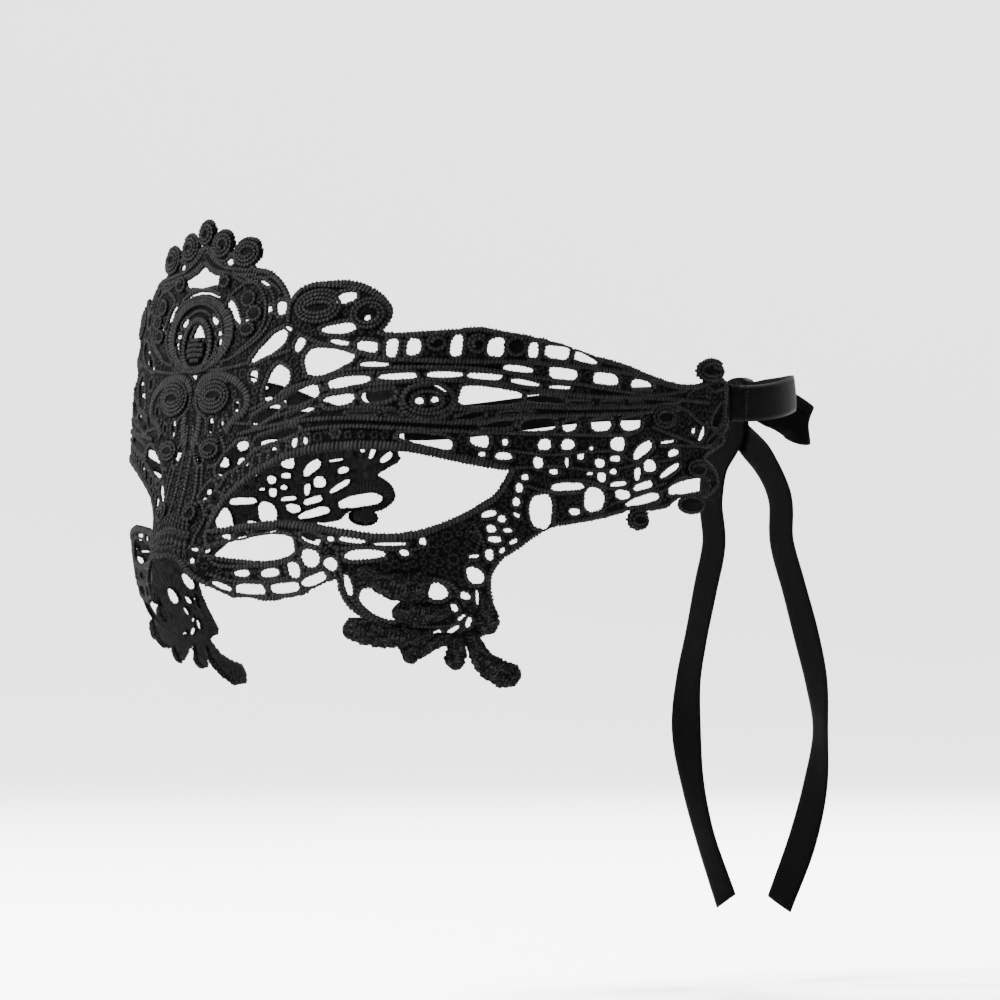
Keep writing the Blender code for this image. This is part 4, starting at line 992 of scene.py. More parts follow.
# The running cords: long satin-stitched cords sweep from the nose to the end posts between
# the openings, and one binds the whole outer edge. Each narrows where the net is tight.
RIM_WIDTH = 1.8            # mm
RIM_HEIGHT = 1.5
RUNNING_HEIGHT = 1.25
RUNNING_CORDS = (
    # width, then the places that it passes
    (1.7, ((37, 62.5), (44, 59.5), (50, 58.2), (56, 56.5), (62, 55), (80, 54.5),
           (100, 54.8), (120, 54.2), (136, 53.2), (145, 51.5), (158, 49.5))),
    (1.4, ((40, 50.2), (48, 51), (55, 52.3), (72, 52.7), (84, 52.8), (96, 51.8),
           (118, 49.5), (145, 47.3), (160, 49))),
    (1.5, ((24, 41.5), (30, 44), (38, 47.6), (45, 49.2), (60, 51.2))),
    (1.6, ((24, 40), (34, 44), (45, 46.5), (56, 47.6), (76, 49.2), (96, 48.6),
           (120, 46.2), (150, 46.5), (170, 46))),
    (1.6, ((81, 42.2), (84, 41.5), (96, 42.5), (120, 42.8), (148, 44.2), (158, 46))),
    (2.0, ((67.4, 43.4), (69.4, 46.8), (74.8, 48.2), (80.2, 46.8), (82.2, 43.4),
           (80.2, 40), (74.8, 38.6), (69.4, 40), (67.4, 43.4))),
    (1.3, ((70, 43.6), (71.4, 45.5), (74.6, 46.2), (77.8, 45.5), (79.2, 43.6),
           (77.8, 41.7), (74.6, 41), (71.4, 41.7), (70, 43.6))),
    (1.5, ((20, 35), (30, 36.8), (42, 38.4), (55, 38.8), (85, 37.8), (97, 39.4),
           (125, 41), (140, 42), (158, 43.5))),
    (1.4, ((62, 36.4), (80, 35.6), (100, 35.3), (125, 35.5), (140, 36))),
    (1.3, ((14, 20), (19, 26), (27, 30.4), (36, 34), (44, 36), (56, 36.6), (66, 36))),
    (1.3, ((30, 38.6), (42, 41.8), (55, 41.8), (66, 41.4))),
    (1.2, ((98, 30.4), (112, 29.6), (124, 30.8), (134, 31), (142, 28.4), (156, 29.4))),
    (1.2, ((100, 25.6), (114, 26.4), (126, 25.6), (138, 26.8), (150, 30.4))),
    (1.2, ((104, 21), (112, 19.6), (122, 22.8), (132, 20.8), (141, 20), (154, 22.8))),
    (1.2, ((132, 16), (142, 19.4), (152, 20.4), (160, 24.6), (170, 23.4))),
    (1.3, ((12, 8), (12.6, 3), (15.5, -1), (24, -1.2), (34, -0.6), (40, 2.8))),
    (1.3, ((13, -3.4), (20, -5.4), (30, -5.4), (40, -3.4), (46, -3))),
    (1.3, ((50.5, 4), (50.8, -2), (51.4, -8), (54, -13), (58, -16.6))),
    (1.2, ((46, 7.6), (50, 3.6), (58, 3.7), (66, 3), (72, 3.3), (76, 5.4))),
    (1.5, ((12.4, 9.6), (11.8, 6.8), (12.8, 4.6), (14.8, 4.2), (15.7, 5.6), (14.8, 7))),
    (1.1, ((66, -17.4), (72, -17.6), (78, -17), (82, -14.6))),
    (1.1, ((70, -21), (76, -20.6), (81.8, -17.8))),
    (1.3, ((54.4, -6), (58, -5.2), (66, -4.4), (74, -4.4), (80, -6), (83, -12))),
    (1.2, ((86, 8.4), (90, 6.8), (88, 1), (90.4, -3))),
    (1.3, ((88, 11), (91, 3), (85, -1), (85.6, -7))),
    (1.5, ((3, 36), (5, 28), (6.2, 20), (5.6, 12))),
    (1.4, ((1.4, 38), (1.7, 28), (1.9, 18), (2.1, 12))),
    (1.2, ((7.4, 26.6), (8.6, 18), (10.8, 12), (9, 6), (9.6, -1))),
    (1.3, ((0.7, 54.6), (5, 53.6), (12, 53.4), (20, 54.4), (30, 56.2), (36, 57.8))),
    (1.2, ((4, 55.6), (14, 56), (24, 61), (28, 66), (28.6, 72), (25, 77.6))),
    (1.2, ((17, 57.4), (25, 63.4), (26.2, 70), (23.4, 75.6), (18, 78.6), (12.4, 80.6))),
    (1.2, ((12.4, 73.6), (16, 76), (22.6, 78.6), (28.6, 75.6), (30.6, 73.4))),
    (1.3, ((34, 63), (34.2, 71), (38, 75), (46, 75.3), (54, 74.2), (60, 70.6),
           (60.6, 66), (57, 63.6))),
    (3.0, ((1.7, 47.2), (3.4, 50.4), (8, 51.9), (14, 51.3), (19.4, 48.8), (22.6, 45),
           (21.6, 41.2), (17.6, 38.8), (15.2, 35.6))),
    (3.0, ((3.4, 41.2), (3.6, 38), (3, 35), (1.6, 32.2))),
    (1.6, ((13.6, 34.4), (15.4, 30.6), (13.6, 27.2), (9, 25.8))),
    (1.2, ((1.2, 49), (2, 43), (6.6, 39.6), (7, 35))),
    (1.2, ((15.4, 41.4), (16.4, 38.6), (22.6, 37.8), (26, 37.4))),
    (1.5, ((0.6, 84.4), (3, 82.6), (6, 81.3), (9, 80.6), (14, 79.8), (22, 79.2))),
    (1.4, ((0.5, 88.6), (1.6, 86.9), (4.6, 84.4), (7.4, 83), (9.4, 82), (14, 81.3), (20, 80.6))),
    (1.2, ((2.6, 89), (3.6, 86.2), (6.6, 84.2), (9.4, 84), (12, 85.6))),
    (1.3, ((12.6, 79.6), (18, 77.4), (22, 77.4), (27, 78.4), (31, 75.6))),
    (1.4, ((147, 38.6), (153, 37), (160, 35.4), (166, 33.8))),
    (1.4, ((146, 42.8), (152, 45), (160, 43.6), (166, 40.4), (171, 38.6))),
    (1.4, ((160, 47.4), (166, 51.4), (171.6, 49.4), (176.6, 50.6))),
    (2.2, ((172.4, 53.4), (175.6, 52.8), (176.8, 49.6), (176.8, 45), (176.9, 41.2))),
    (1.3, ((150, 33.4), (158, 33.6), (166, 33.6), (172, 33.4))),
)


def running_cord(line, width, height, sides, lift=CORD_LIFT, closed=False):
    """A cord on an open or closed line, as wide as the stitching there lets it be. Where it
    would cross an opening it stops, and goes on behind it."""
    path = resampled(line, RING_STEP, closed)
    room = room_at(path)
    width = np.minimum(width, 2 * room + 0.3)
    lift = np.broadcast_to(lift, len(path))
    if closed and np.all(room > 0.15):
        return [cord_mesh(path, width, height, lift, True, sides)]
    held = np.concatenate([[0], (room > 0.15).astype(int), [0]])
    starts = np.flatnonzero(np.diff(held) == 1)
    stops = np.flatnonzero(np.diff(held) == -1)
    runs = []
    for start, stop in zip(starts, stops):
        if stop - start > 6:
            part = slice(start, stop)
            runs.append(cord_mesh(path[part], width[part], height, lift[part], False, sides))
    return runs


rim_cords = []
rim_cords += running_cord(beside(TOP_LINE, 0.82, False), RIM_WIDTH, RIM_HEIGHT, 8)
rim_cords += running_cord(beside(LOW_LINE, -0.82, False), RIM_WIDTH, RIM_HEIGHT, 8)
add_cords("outer_binding", with_mirror(rim_cords), cord_thread)

long_cords = []
for cord_width, cord_places in RUNNING_CORDS:
    long_cords += running_cord(smooth_line(cord_places, 12), cord_width, RUNNING_HEIGHT, 7,
                               CORD_LIFT + 0.00012)
add_cords("running_cords", with_mirror(long_cords), cord_thread)

# The nose piece: thick upright rows lie side by side over the bridge of the nose, and close
# it down to the arch.
NOSE_ROWS = 11
NOSE_ROW_PITCH = 1.5       # mm
NOSE_ROW_TOP = 13.6
NOSE_ROW_FALL = 0.4        # the rows end lower by this for each row from the mid-line


def nose_rows():
    """Upright rows, each a little lower and bowed outwards with its place."""
    cords = []
    for row in (np.arange(NOSE_ROWS) - (NOSE_ROWS - 1) / 2):
        share = np.linspace(0, 1, 40)
        top = NOSE_ROW_TOP - NOSE_ROW_FALL * abs(row)
        up = top + (0.6 - top) * share
        along = row * NOSE_ROW_PITCH * (0.82 + 0.18 * share) + 0.12 * np.sin(9 * share + row)
        line = resampled(np.column_stack([along, up]), RING_STEP, False)
        cords.append(cord_mesh(line, 1.3 * NOSE_ROW_PITCH, 1.5, CORD_LIFT + 0.0001, False, 10,
                               0.08, 0.3))
    return cords


add_cords("nose_rows", nose_rows(), petal_thread)

# The coiled rounds: cords laid in a spiral on a padded dome. They make the crown's lobes,
# the scroll, the heart and the small bosses, and the medallion has whole rings of cord.
COIL_WIDTH = 1.15          # mm
COIL_PITCH = 1.12
COIL_SPREAD = 0.35         # a coiled round swells past the round of the ground by this
BALL_UP = 59.0
BALL_HALF_ALONG = 4.2
BALL_HALF_UP = 3.5
BALL_ROWS = 5
MEDALLION_OUTSIDE = (0, 63.7, 15.9, 11.1)
MEDALLION_INSIDE = (0, 63.3, 10.9, 8.6)
MEDALLION_HEIGHT = 1.7     # mm
MEDALLION_RINGS = (
    # up, half_along, half_up, width, lift
    (63.7, 15.4, 10.6, 1.0, 0.0005), (63.3, 11.3, 9.0, 1.0, 0.0005),
    (61.8, 8.7, 8.6, 1.1, 0.0001), (60.5, 6.2, 7.3, 2.1, 0.0005),
)


def coil(along, up, half_along, half_up, core):
    """A spiral cord on a dome: each turn lies one pitch inside the last, until it meets the
    core, and the lift follows the height of an ellipsoid."""
    first = COIL_WIDTH / 2 - COIL_SPREAD
    turns = max(1.0, (min(half_along, half_up) - first - core - COIL_WIDTH / 2) / COIL_PITCH)
    whole = turns < 1.3
    turns = 1.0 if whole else turns
    angle = np.linspace(0, turns * 2 * np.pi, int(60 * turns) + 1) + 0.7
    inward = 0 * angle if whole else COIL_PITCH * (angle - 0.7) / (2 * np.pi)
    x = (half_along - first - inward) * np.cos(angle)
    y = (half_up - first - inward) * np.sin(angle)
    line = np.column_stack([along + x, up + y])
    line = line[:-1] if whole else line
    path = resampled(line, RING_STEP, whole)
    offset = (path - (along, up)) / (half_along, half_up)
    dome = np.sqrt(np.clip(1 - np.sum(offset ** 2, axis=1), 0, 1))
    lift = CORD_LIFT + 0.00015 + 0.8 * PETAL_RELIEF * dome
    return cord_mesh(path, COIL_WIDTH, 1.15, lift, whole, 7)


def level_ball():
    """The ball in the medallion: level cords one over the other, each as long as the oval
    is wide there, on a dome."""
    cords = []
    pitch = 2 * BALL_HALF_UP / BALL_ROWS
    for row in np.arange(BALL_ROWS) - (BALL_ROWS - 1) / 2:
        reach = BALL_HALF_ALONG * np.sqrt(1 - (row * pitch / BALL_HALF_UP) ** 2) - 0.3
        along = np.arange(-reach, reach, RING_STEP)
        line = np.column_stack([along, BALL_UP + row * pitch + 0.25 * np.cos(along / 3)])
        dome = 1 - (along / BALL_HALF_ALONG) ** 2 - (row * pitch / BALL_HALF_UP) ** 2
        lift = CORD_LIFT + PETAL_RELIEF * np.sqrt(np.clip(dome, 0, 1))
        cords.append(cord_mesh(line, pitch, 1.5, lift, False, 8))
    return cords


coils = [coil(*ROUNDS[0])] + level_ball()
for round_row in ROUNDS[1:]:
    coils += with_mirror([coil(*round_row)])
for ring_up, ring_along, ring_high, ring_width, ring_lift in MEDALLION_RINGS:
    coils += running_cord(oval_line(0, ring_up, ring_along, ring_high, 90), ring_width, 1.3, 8,
                          CORD_LIFT + ring_lift, True)
add_cords("coiled_rounds", coils, cord_thread)


def medallion_band():
    """The broad satin ring: its middle and its width are the mean and the difference of
    two ovals, and the stitches run straight across it."""
    outside = oval_line(*MEDALLION_OUTSIDE, 400)
    inside = oval_line(*MEDALLION_INSIDE, 400)
    width = np.hypot(*(outside - inside).T)
    path = resampled(np.column_stack([(outside + inside) / 2, width]), RING_STEP, True)
    return cord_mesh(path[:, :2], path[:, 2], MEDALLION_HEIGHT, CORD_LIFT, True, 20, 0.035)


add_cords("medallion_band", [medallion_band()], cord_thread)

# The petals of the cheek spray: broad padded stitching, worked to and fro over a rounded
# back, which leaves it covered with small knobs of thread.
PETAL_LIFT = 0.0012
PETAL_HEIGHT = 3.0         # mm, of the full round; its lower half is flattened


def petal_cord(*row):
    """A petal as a cord of changing width: its half width along the spine, closed by a
    quarter round at the root and a half round at the tip."""
    spine, half = petal_spine(*row)
    root_ahead = (spine[0] - spine[1]) / np.hypot(*(spine[0] - spine[1]))
    tip_ahead = (spine[-1] - spine[-2]) / np.hypot(*(spine[-1] - spine[-2]))
    reach = np.sin(np.linspace(0.08, np.pi / 2, 16))[:, None]
    before = spine[0] + root_ahead * (half[0] * 0.7 * reach[::-1])
    after = spine[-1] + tip_ahead * (half[-1] * 0.985 * reach)
    before_half = half[0] * np.sqrt(1 - (0.98 * reach[::-1, 0]) ** 2)
    after_half = half[-1] * np.sqrt(1 - (0.985 * reach[:, 0]) ** 2)
    line = np.concatenate([before, spine, after])
    halves = np.concatenate([before_half, half, after_half])
    path = resampled(np.column_stack([line, halves]), RING_STEP, False)
    halves = path[:, 2]
    height = PETAL_HEIGHT * np.clip(halves / halves.max(), 0.05, 1) ** 0.6
    return cord_mesh(path[:, :2], 2 * halves, height, PETAL_LIFT, False, 24, 0.1, 0.3)


petals = []
for petal_row in PETALS:
    petals.append(petal_cord(*petal_row))
add_cords("cheek_petals", with_mirror(petals), petal_thread)

# The filling: wherever the net is closed between the cords, small wheels and knots are
# stitched side by side. The widest free place takes the next wheel, until none is left.
WHEEL_LIMIT = 1.75         # mm, the largest wheel's outer radius
WHEEL_LEAST = 0.55
WHEEL_CORD = 0.9
WHEEL_COUNT = 420


def free_room():
    """At each square of the ground, the distance to the nearest edge or laid cord."""
    room = grid_depth.copy()
    for cord in laid_cords:
        for first in range(0, len(cord), 60):
            part = cord[first:first + 60:2]
            low = part[:, :2].min(axis=0) - 3
            high = part[:, :2].max(axis=0) + 3
            columns = slice(*np.searchsorted(GRID_ALONG, (low[0], high[0])))
            rows = slice(*np.searchsorted(GRID_UP, (low[1], high[1])))
            near = chart_grid[rows, columns]
            apart = np.hypot(*np.moveaxis(near[..., None, :] - part[:, :2], -1, 0)) - part[:, 2]
            if apart.size:
                room[rows, columns] = np.minimum(room[rows, columns], apart.min(axis=-1))
    return room


def fill_wheels():
    """A ring of cord in each of the widest free places, and a knot where it is small."""
    room = free_room()
    hand = np.random.default_rng(7)
    wheels = []
    for number in range(WHEEL_COUNT):
        row, column = np.unravel_index(np.argmax(room), room.shape)
        radius = min(room[row, column] + 0.2, WHEEL_LIMIT * hand.uniform(0.62, 1.0))
        if radius < WHEEL_LEAST + 0.2:
            break
        along, up = chart_grid[row, column]
        apart = np.hypot(*np.moveaxis(chart_grid - (along, up), -1, 0)) - radius
        room = np.minimum(room, apart)
        if radius > 1.05:
            half = (radius - WHEEL_CORD / 2) * hand.uniform(0.85, 1.12, 2)
            ring = oval_line(along, up, *half, 24)
            path = resampled(ring, RING_STEP, True)
            width = WHEEL_CORD * hand.uniform(0.9, 1.3)
            wheels.append(cord_mesh(path, width, 1.15, CORD_LIFT, True, 6, 0.06, 0.6))
        else:
            ring = oval_line(along, up, 0.4 * radius, 0.4 * radius, 8)
            wheels.append(cord_mesh(ring, 1.1 * radius, 1.05, CORD_LIFT, True, 6, 0.06, 0.6))
    return with_mirror(wheels)


add_cords("filling_wheels", fill_wheels(), wheel_thread)

# The ribbon: black double-faced satin about ten millimetres wide. Each band's end is
# turned over the lace's end post and sewn, and it runs round the head to the bow.
POST_END = 0.1792          # the arc length at which the ribbon leaves the post
POST_HEIGHT = 0.0464
RIBBON_WIDTH = 0.0105
RIBBON_THICK = 0.00042
RIBBON_SEAT = 0.0008       # the middle of the ribbon above the face curve
HEM_LENGTH = 0.007
RIBBON_RISE_RUN = 0.070
KNOT_UP = 0.0530
KNOT_WIDTH = 0.012
KNOT_HEIGHT = 0.014
KNOT_DEPTH = 0.008
KNOT_OFFSET = 0.005
RIBBON_LIFT = 0.0003
KNOT_SINK = 0.0016         # each ribbon goes this far into the knot
LOOP_LENGTH = 0.0185
LOOP_OPENING = 0.0056
LOOP_LAYERS = 0.0018
LOOP_DROOP = 0.008
LOOP_FALL = 0.0030
LOOP_SWING = 0.0040
TAIL_DROP = 0.150
TAILS_APART = 0.0020


def satin_material(name):
    """Satin: fine floats of thread run along the ribbon, and the cloth is a little
    uneven."""
    material = bpy.data.materials.new(name)
    material.use_nodes = True
    nodes, link = material.node_tree.nodes, material.node_tree.links.new
    shader = nodes["Principled BSDF"]
    shader.inputs["IOR"].default_value = 1.03
    shader.inputs["Specular IOR Level"].default_value = 0.4
    thread_map = nodes.new("ShaderNodeUVMap")
    thread_map.uv_map = "thread"
    floats = nodes.new("ShaderNodeVectorMath")
    floats.operation = "MULTIPLY"
    floats.inputs[1].default_value = (1.1, 9.0, 1.0)
    weave = nodes.new("ShaderNodeTexNoise")
    weave.inputs["Scale"].default_value = 1.0
    weave.inputs["Detail"].default_value = 3.0
    cloth = nodes.new("ShaderNodeTexNoise")
    cloth.inputs["Scale"].default_value = 0.22
    tint = nodes.new("ShaderNodeValToRGB")
    tint.color_ramp.elements[0].position = 0.3
    tint.color_ramp.elements[0].color = (0.0005, 0.0005, 0.0005, 1)
    tint.color_ramp.elements[1].position = 0.75
    tint.color_ramp.elements[1].color = (0.0018, 0.0018, 0.0018, 1)
    rough = nodes.new("ShaderNodeMapRange")
    rough.inputs["To Min"].default_value = 0.30
    rough.inputs["To Max"].default_value = 0.46
    heights = nodes.new("ShaderNodeMath")
    heights.operation = "MULTIPLY_ADD"
    heights.inputs[1].default_value = 3.0
    bump = nodes.new("ShaderNodeBump")
    bump.inputs["Strength"].default_value = 0.5
    bump.inputs["Distance"].default_value = 0.00005
    link(thread_map.outputs["UV"], floats.inputs[0])
    link(floats.outputs[0], weave.inputs["Vector"])
    link(thread_map.outputs["UV"], cloth.inputs["Vector"])
    link(weave.outputs["Fac"], tint.inputs["Fac"])
    link(tint.outputs["Color"], shader.inputs["Base Color"])
    link(weave.outputs["Fac"], rough.inputs["Value"])
    link(rough.outputs[0], shader.inputs["Roughness"])
    link(cloth.outputs["Fac"], heights.inputs[0])
    link(weave.outputs["Fac"], heights.inputs[2])
    link(heights.outputs[0], bump.inputs["Height"])
    link(bump.outputs["Normal"], shader.inputs["Normal"])
    return material


def ribbon_mesh(centre, across, facing, cup, thick=RIBBON_THICK, columns=9):
    """A ribbon along a line: at each station a front and a back row of points from edge to
    edge, bowed by the cup, closed at both ends.

    across holds half the width as a vector at each station; cup is how far the middle
    stands out of the edges, in metres."""
    count = len(centre)
    side = np.linspace(-1, 1, columns)
    bow = (1 - side ** 2)[None, :] * np.broadcast_to(cup, count)[:, None]
    edge = np.sqrt(np.clip(1 - 0.85 * np.abs(side) ** 8, 0, 1))
    middle = centre[:, None] + across[:, None] * side[:, None] + facing[:, None] * bow[..., None]
    half = facing[:, None] * (edge * thick / 2)[:, None]
    rings = np.concatenate([middle - half, (middle + half)[:, ::-1]], axis=1)
    sides = 2 * columns
    i, k = np.meshgrid(np.arange(count - 1), np.arange(sides), indexing="ij")
    i, k = i.ravel(), k.ravel()
    beyond = (k + 1) % sides
    faces = np.stack([i * sides + k, i * sides + beyond,
                      (i + 1) * sides + beyond, (i + 1) * sides + k], axis=-1)
    arc = np.concatenate([[0], np.cumsum(np.linalg.norm(np.diff(centre, axis=0), axis=1))])
    arc *= 1000
    place = np.concatenate([side, side[::-1]]) * RIBBON_WIDTH * 500
    corner_map = np.stack([
        np.stack([arc[i], place[k]], axis=-1), np.stack([arc[i], place[beyond]], axis=-1),
        np.stack([arc[i + 1], place[beyond]], axis=-1), np.stack([arc[i + 1], place[k]], axis=-1),
    ], axis=1)
    last = (count - 1) * sides
    ends = [np.arange(sides)[::-1], np.arange(last, last + sides)]
    return rings.reshape(-1, 3), faces, corner_map, ends


def ring_height(along):
    """The ribbon's middle height: it rises from the end post to the knot."""
    reach = np.clip((along - 0.180) / RIBBON_RISE_RUN, 0, 1)
    return POST_HEIGHT + (KNOT_UP - POST_HEIGHT) * (1 - np.cos(reach * np.pi)) / 2


HALF_ROUND = np.interp(KNOT_UP, HEIGHTS, HALF_ROUNDS)


def knot_centre():
    """The middle of the knot, on the back of the ring."""
    back = face_point(np.array([HALF_ROUND]), np.array([KNOT_UP]))[0]
    return np.array((KNOT_OFFSET, back[1] + RIBBON_LIFT + KNOT_DEPTH / 2, KNOT_UP))


def add_ribbon(name, ribbons):
    """One ribbon piece in black satin, in place of the imported part of that name."""
    piece = add_cords(name + "_satin", ribbons, satin, name)
    return piece


satin = satin_material("black_satin")


def build_band(name, side):
    """The band round the back of the head, and the turned end sewn down on its outside."""
    knot_side = KNOT_OFFSET + side * (KNOT_WIDTH / 2 - KNOT_SINK)
    arcs = np.linspace(POST_END, HALF_ROUND, 400)
    ring = face_point(arcs, ring_height(arcs))
    knot_arc = np.interp(-side * knot_side, -ring[:, 0], arcs)
    along = np.linspace(POST_END, knot_arc, 120)
    height = ring_height(along)
    place = face_point(along, height)
    facing = face_normal(along, height)
    ahead = np.gradient(place, axis=0)
    across = np.cross(facing, ahead)
    across /= np.linalg.norm(across, axis=1, keepdims=True)
    to_knot = np.clip((knot_arc - along) / 0.016, 0, 1)
    width = RIBBON_WIDTH / 2 * (0.74 + 0.26 * np.sin(to_knot * np.pi / 2))
    cup = 0.0002 + 0.0007 * (1 - to_knot)
    wander = 0.00012 * np.sin(along * 190) * to_knot
    centre = place + facing * (RIBBON_SEAT - cup * 0.5 + wander)[:, None]
    band = ribbon_mesh(centre, across * width[:, None], facing, cup)
    hem = np.linspace(POST_END + 0.0001, POST_END + HEM_LENGTH, 14)
    hem_height = ring_height(hem)
    hem_facing = face_normal(hem, hem_height)
    hem_place = face_point(hem, hem_height) + hem_facing * 0.0014
    hem_ahead = np.gradient(hem_place, axis=0)
    hem_across = np.cross(hem_facing, hem_ahead)
    hem_across *= 0.97 * RIBBON_WIDTH / 2 / np.linalg.norm(hem_across, axis=1, keepdims=True)
    fold = ribbon_mesh(hem_place, hem_across, hem_facing, 0.0002)
    ribbons = [band, fold]
    if side < 0:
        ribbons = [mirror_image(ribbon) for ribbon in ribbons]
    add_ribbon(name, ribbons)


build_band("ribbon_band_left", 1)
build_band("ribbon_band_right", -1)

# The sewing: the turned end of each ribbon is overcast to the band with a few slanting
# stitches of the same black thread, and cut thread ends stand up at its top corner.
HEM_ALONG = 186.2          # mm on the chart, the sewn edge of the turned end
SEW_LIFT = 0.0019
SEW_THICK = 0.34           # mm
TUFT_PLACE = (181.5, 51.6)


def sewing():
    """Stitches as low arches across the edge, and thread ends as seeded bent lines."""
    share = np.linspace(0, 1, 9)
    cords = []
    for up in np.linspace(42.0, 50.8, 8):
        line = np.column_stack([HEM_ALONG - 0.9 + 2.2 * share, up + 0.9 * share])
        arch = SEW_LIFT - 0.0009 * (2 * share - 0.75) ** 2
        cords.append(cord_mesh(line, SEW_THICK, SEW_THICK, arch, False, 6))
    hand = np.random.default_rng(41)
    for number in range(26):
        lean = hand.uniform(-1.5, 1.7)
        reach = hand.uniform(0.9, 2.6)
        bow = hand.uniform(-0.7, 0.7)
        along = TUFT_PLACE[0] + hand.uniform(-1.3, 1.3) + lean * share + bow * share ** 2
        line = np.column_stack([along, TUFT_PLACE[1] - 0.8 + reach * share])
        stand = SEW_LIFT - 0.0007 + hand.uniform(-0.0002, 0.0012) * share
        cords.append(cord_mesh(line, 0.13, 0.13, stand, False, 4))
    return cords


add_cords("ribbon_sewing", with_mirror(sewing()), cord_thread, "lace_mask")

# The bow: the ribbon's ends are tied in one knot with two loops. The knot is the ribbon
# wrapped once over, crushed into upright folds, and the loops droop to the sides.


def build_knot():
    """The knot as a squared ball: x, y and z are powers of the sines and cosines of two
    angles, and upright folds are pressed into it as a wave across its width."""
    rise = np.linspace(-np.pi / 2, np.pi / 2, 40)
    turn = np.arange(64) * 2 * np.pi / 64
    soft = 0.62
    flat = np.abs(np.cos(rise))[:, None] ** soft
    x = flat * np.sign(np.cos(turn)) * np.abs(np.cos(turn)) ** soft
    y = flat * np.sign(np.sin(turn)) * np.abs(np.sin(turn)) ** soft
    z = (np.sign(np.sin(rise)) * np.abs(np.sin(rise)) ** soft)[:, None] + 0 * turn
    fold = np.sin(x * 8.5 + 1.4 * z + 0.6) * 0.5 + 0.35 * np.sin(x * 17 - 1.1 * z)
    y = y * (1 + 0.10 * fold) * (1 - 0.10 * z ** 2)
    x = x * (1 - 0.14 * z ** 4)
    size = np.array((KNOT_WIDTH, KNOT_DEPTH, KNOT_HEIGHT)) / 2 * 0.98
    points = np.stack([x, y, z], axis=-1)[1:-1].reshape(-1, 3)
    points = np.concatenate([points, [(0, 0, -1), (0, 0, 1)]]) * size + knot_centre()
    rings = 38
    i, k = np.meshgrid(np.arange(rings - 1), np.arange(64), indexing="ij")
    i, k = i.ravel(), k.ravel()
    beyond = (k + 1) % 64
    faces = np.stack([i * 64 + k, i * 64 + beyond, (i + 1) * 64 + beyond, (i + 1) * 64 + k], -1)
    around = np.arange(64)
    caps = np.stack([np.full(64, rings * 64), (around + 1) % 64, around], axis=-1)
    top = (rings - 1) * 64
    lids = np.stack([np.full(64, rings * 64 + 1), top + around, top + (around + 1) % 64], -1)
    grid = np.stack([rise[1:-1, None] * 4.5 + 0 * turn, 0 * rise[1:-1, None] + turn * 2.5], -1)
    flat_map = np.concatenate([grid.reshape(-1, 2), [(-7, 0), (7, 0)]])
    corner_map = np.concatenate([flat_map[faces].reshape(-1, 2), flat_map[caps].reshape(-1, 2),
                                 flat_map[lids].reshape(-1, 2)])
    piece = add_piece("bow_knot_satin", points, faces.tolist() + caps.tolist() + lids.tolist(),
                      corner_map, satin)
    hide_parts("bow_knot")


build_knot()


def line_frame(centre, wide):
    """Square directions along a line: ahead, the ribbon's width, and the way it faces."""
    ahead = np.gradient(centre, axis=0)
    ahead /= np.linalg.norm(ahead, axis=1, keepdims=True)
    wide = wide - ahead * np.sum(wide * ahead, axis=1, keepdims=True)
    wide /= np.linalg.norm(wide, axis=1, keepdims=True)
    return ahead, wide, np.cross(ahead, wide)


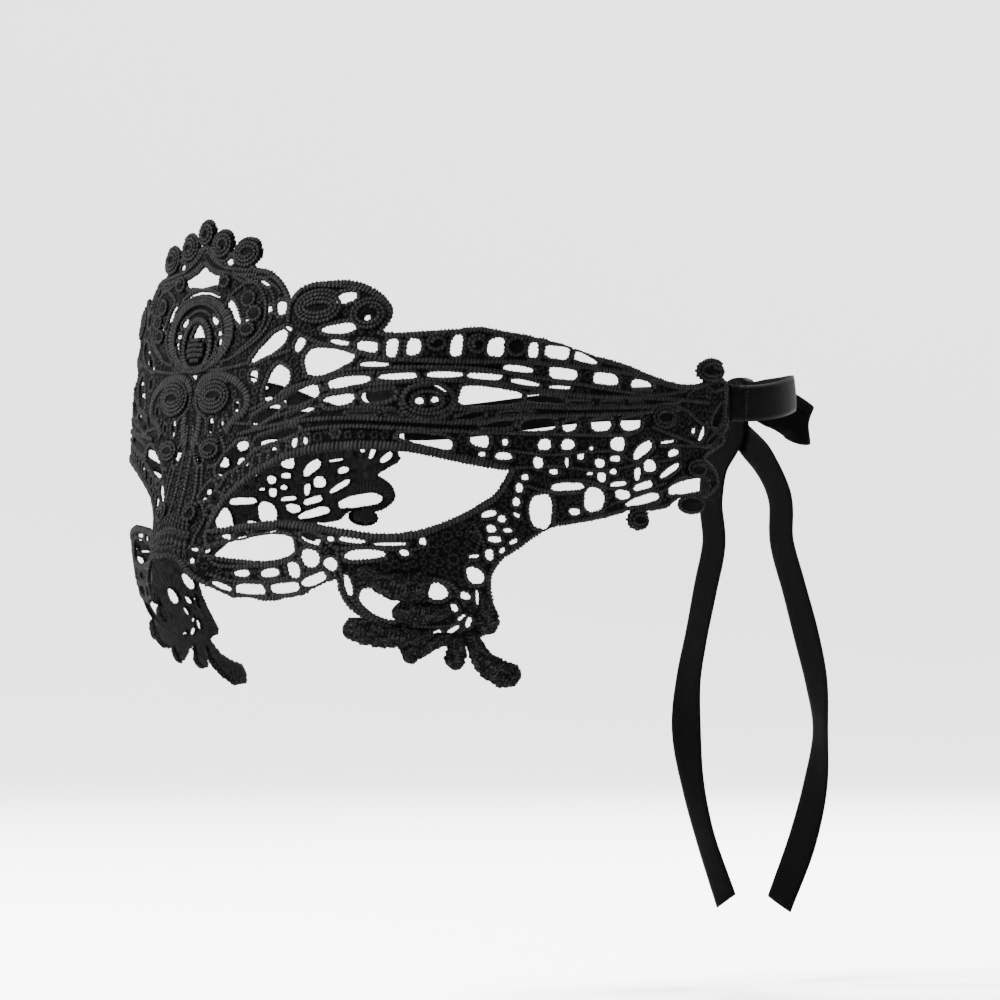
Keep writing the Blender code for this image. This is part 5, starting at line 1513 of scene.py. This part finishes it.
def build_loop(name, side):
    """A loop of the bow: the ribbon runs out from the knot on a line, turns round an arc
    and comes back, drooping as the square of its reach."""
    bend_half = LOOP_OPENING / 2
    run = np.linspace(0, 1, 40, endpoint=False)
    side_out = run * (LOOP_LENGTH - bend_half)
    side_deep = LOOP_LAYERS / 2 + run * (bend_half - LOOP_LAYERS / 2)
    bend = np.linspace(np.pi / 2, -np.pi / 2, 31)
    bend_out = LOOP_LENGTH - bend_half * (1 - np.cos(bend))
    out = np.concatenate([side_out, bend_out, side_out[::-1]])
    deep = np.concatenate([side_deep, bend_half * np.sin(bend), -side_deep[::-1]])
    share = np.linspace(0, 1, len(out))
    far = out / LOOP_LENGTH
    start = knot_centre() + (side * (KNOT_WIDTH / 2 - 1.5 * KNOT_SINK), KNOT_DEPTH / 3, 0)
    lift = -LOOP_DROOP * far ** 2 - LOOP_FALL * share
    centre = start + np.column_stack([side * out, LOOP_SWING * far + deep, lift])
    ahead, wide, facing = line_frame(centre, np.array((0, 0, 1.0)))
    pinch = np.clip(far / 0.42, 0, 1)
    width = RIBBON_WIDTH / 2 * (0.62 + 0.38 * np.sin(pinch * np.pi / 2))
    cup = 0.0006 * (1 - pinch) * np.sign(share - 0.5) * side
    ribbon = ribbon_mesh(centre, wide * width[:, None], facing, cup)
    add_ribbon(name, [ribbon])


build_loop("bow_loop_left", 1)
build_loop("bow_loop_right", -1)

# The tails: the two free ends hang down from the knot, swing out a little, and keep the
# creases of the packet. Each is cut off straight across, a little on the slant.
TAIL = (
    # down, out, back, turn
    (0.00, 0.000, 0.000, 0), (0.03, 0.002, 0.000, 0), (0.09, 0.062, 0.004, 0),
    (0.16, 0.095, 0.018, 0),
    (0.26, 0.095, 0.026, 0), (0.35, 0.125, 0.030, 0), (0.45, 0.158, 0.034, 2),
    (0.54, 0.184, 0.036, -4), (0.64, 0.194, 0.038, -18), (0.76, 0.176, 0.040, 0),
    (0.86, 0.142, 0.040, 8), (1.00, 0.072, 0.038, 4),
)


def build_tail(name, side):
    """A tail along the smooth line through the table, its width pinched at the knot."""
    rows = smooth_rows(TAIL, np.linspace(0, 1, 200))
    apart = (side - 1) * TAILS_APART / 2
    start = knot_centre() + (0, apart, KNOT_SINK - KNOT_HEIGHT / 2)
    centre = start + np.column_stack([side * rows[:, 1], rows[:, 2], -rows[:, 0]]) * TAIL_DROP
    turn = np.radians(rows[:, 3]) * side
    ahead, wide, facing = line_frame(
        centre, np.column_stack([np.cos(turn), np.sin(turn), 0 * turn]))
    pinch = np.clip(rows[:, 0] / 0.10, 0, 1)
    width = RIBBON_WIDTH / 2 * (0.62 + 0.38 * np.sin(pinch * np.pi / 2))
    cup = 0.0002 + 0.0006 * (1 - pinch)
    ribbon = ribbon_mesh(centre, wide * width[:, None], facing, cup)
    add_ribbon(name, [ribbon])


build_tail("ribbon_tail_left", 1)
build_tail("ribbon_tail_right", -1)
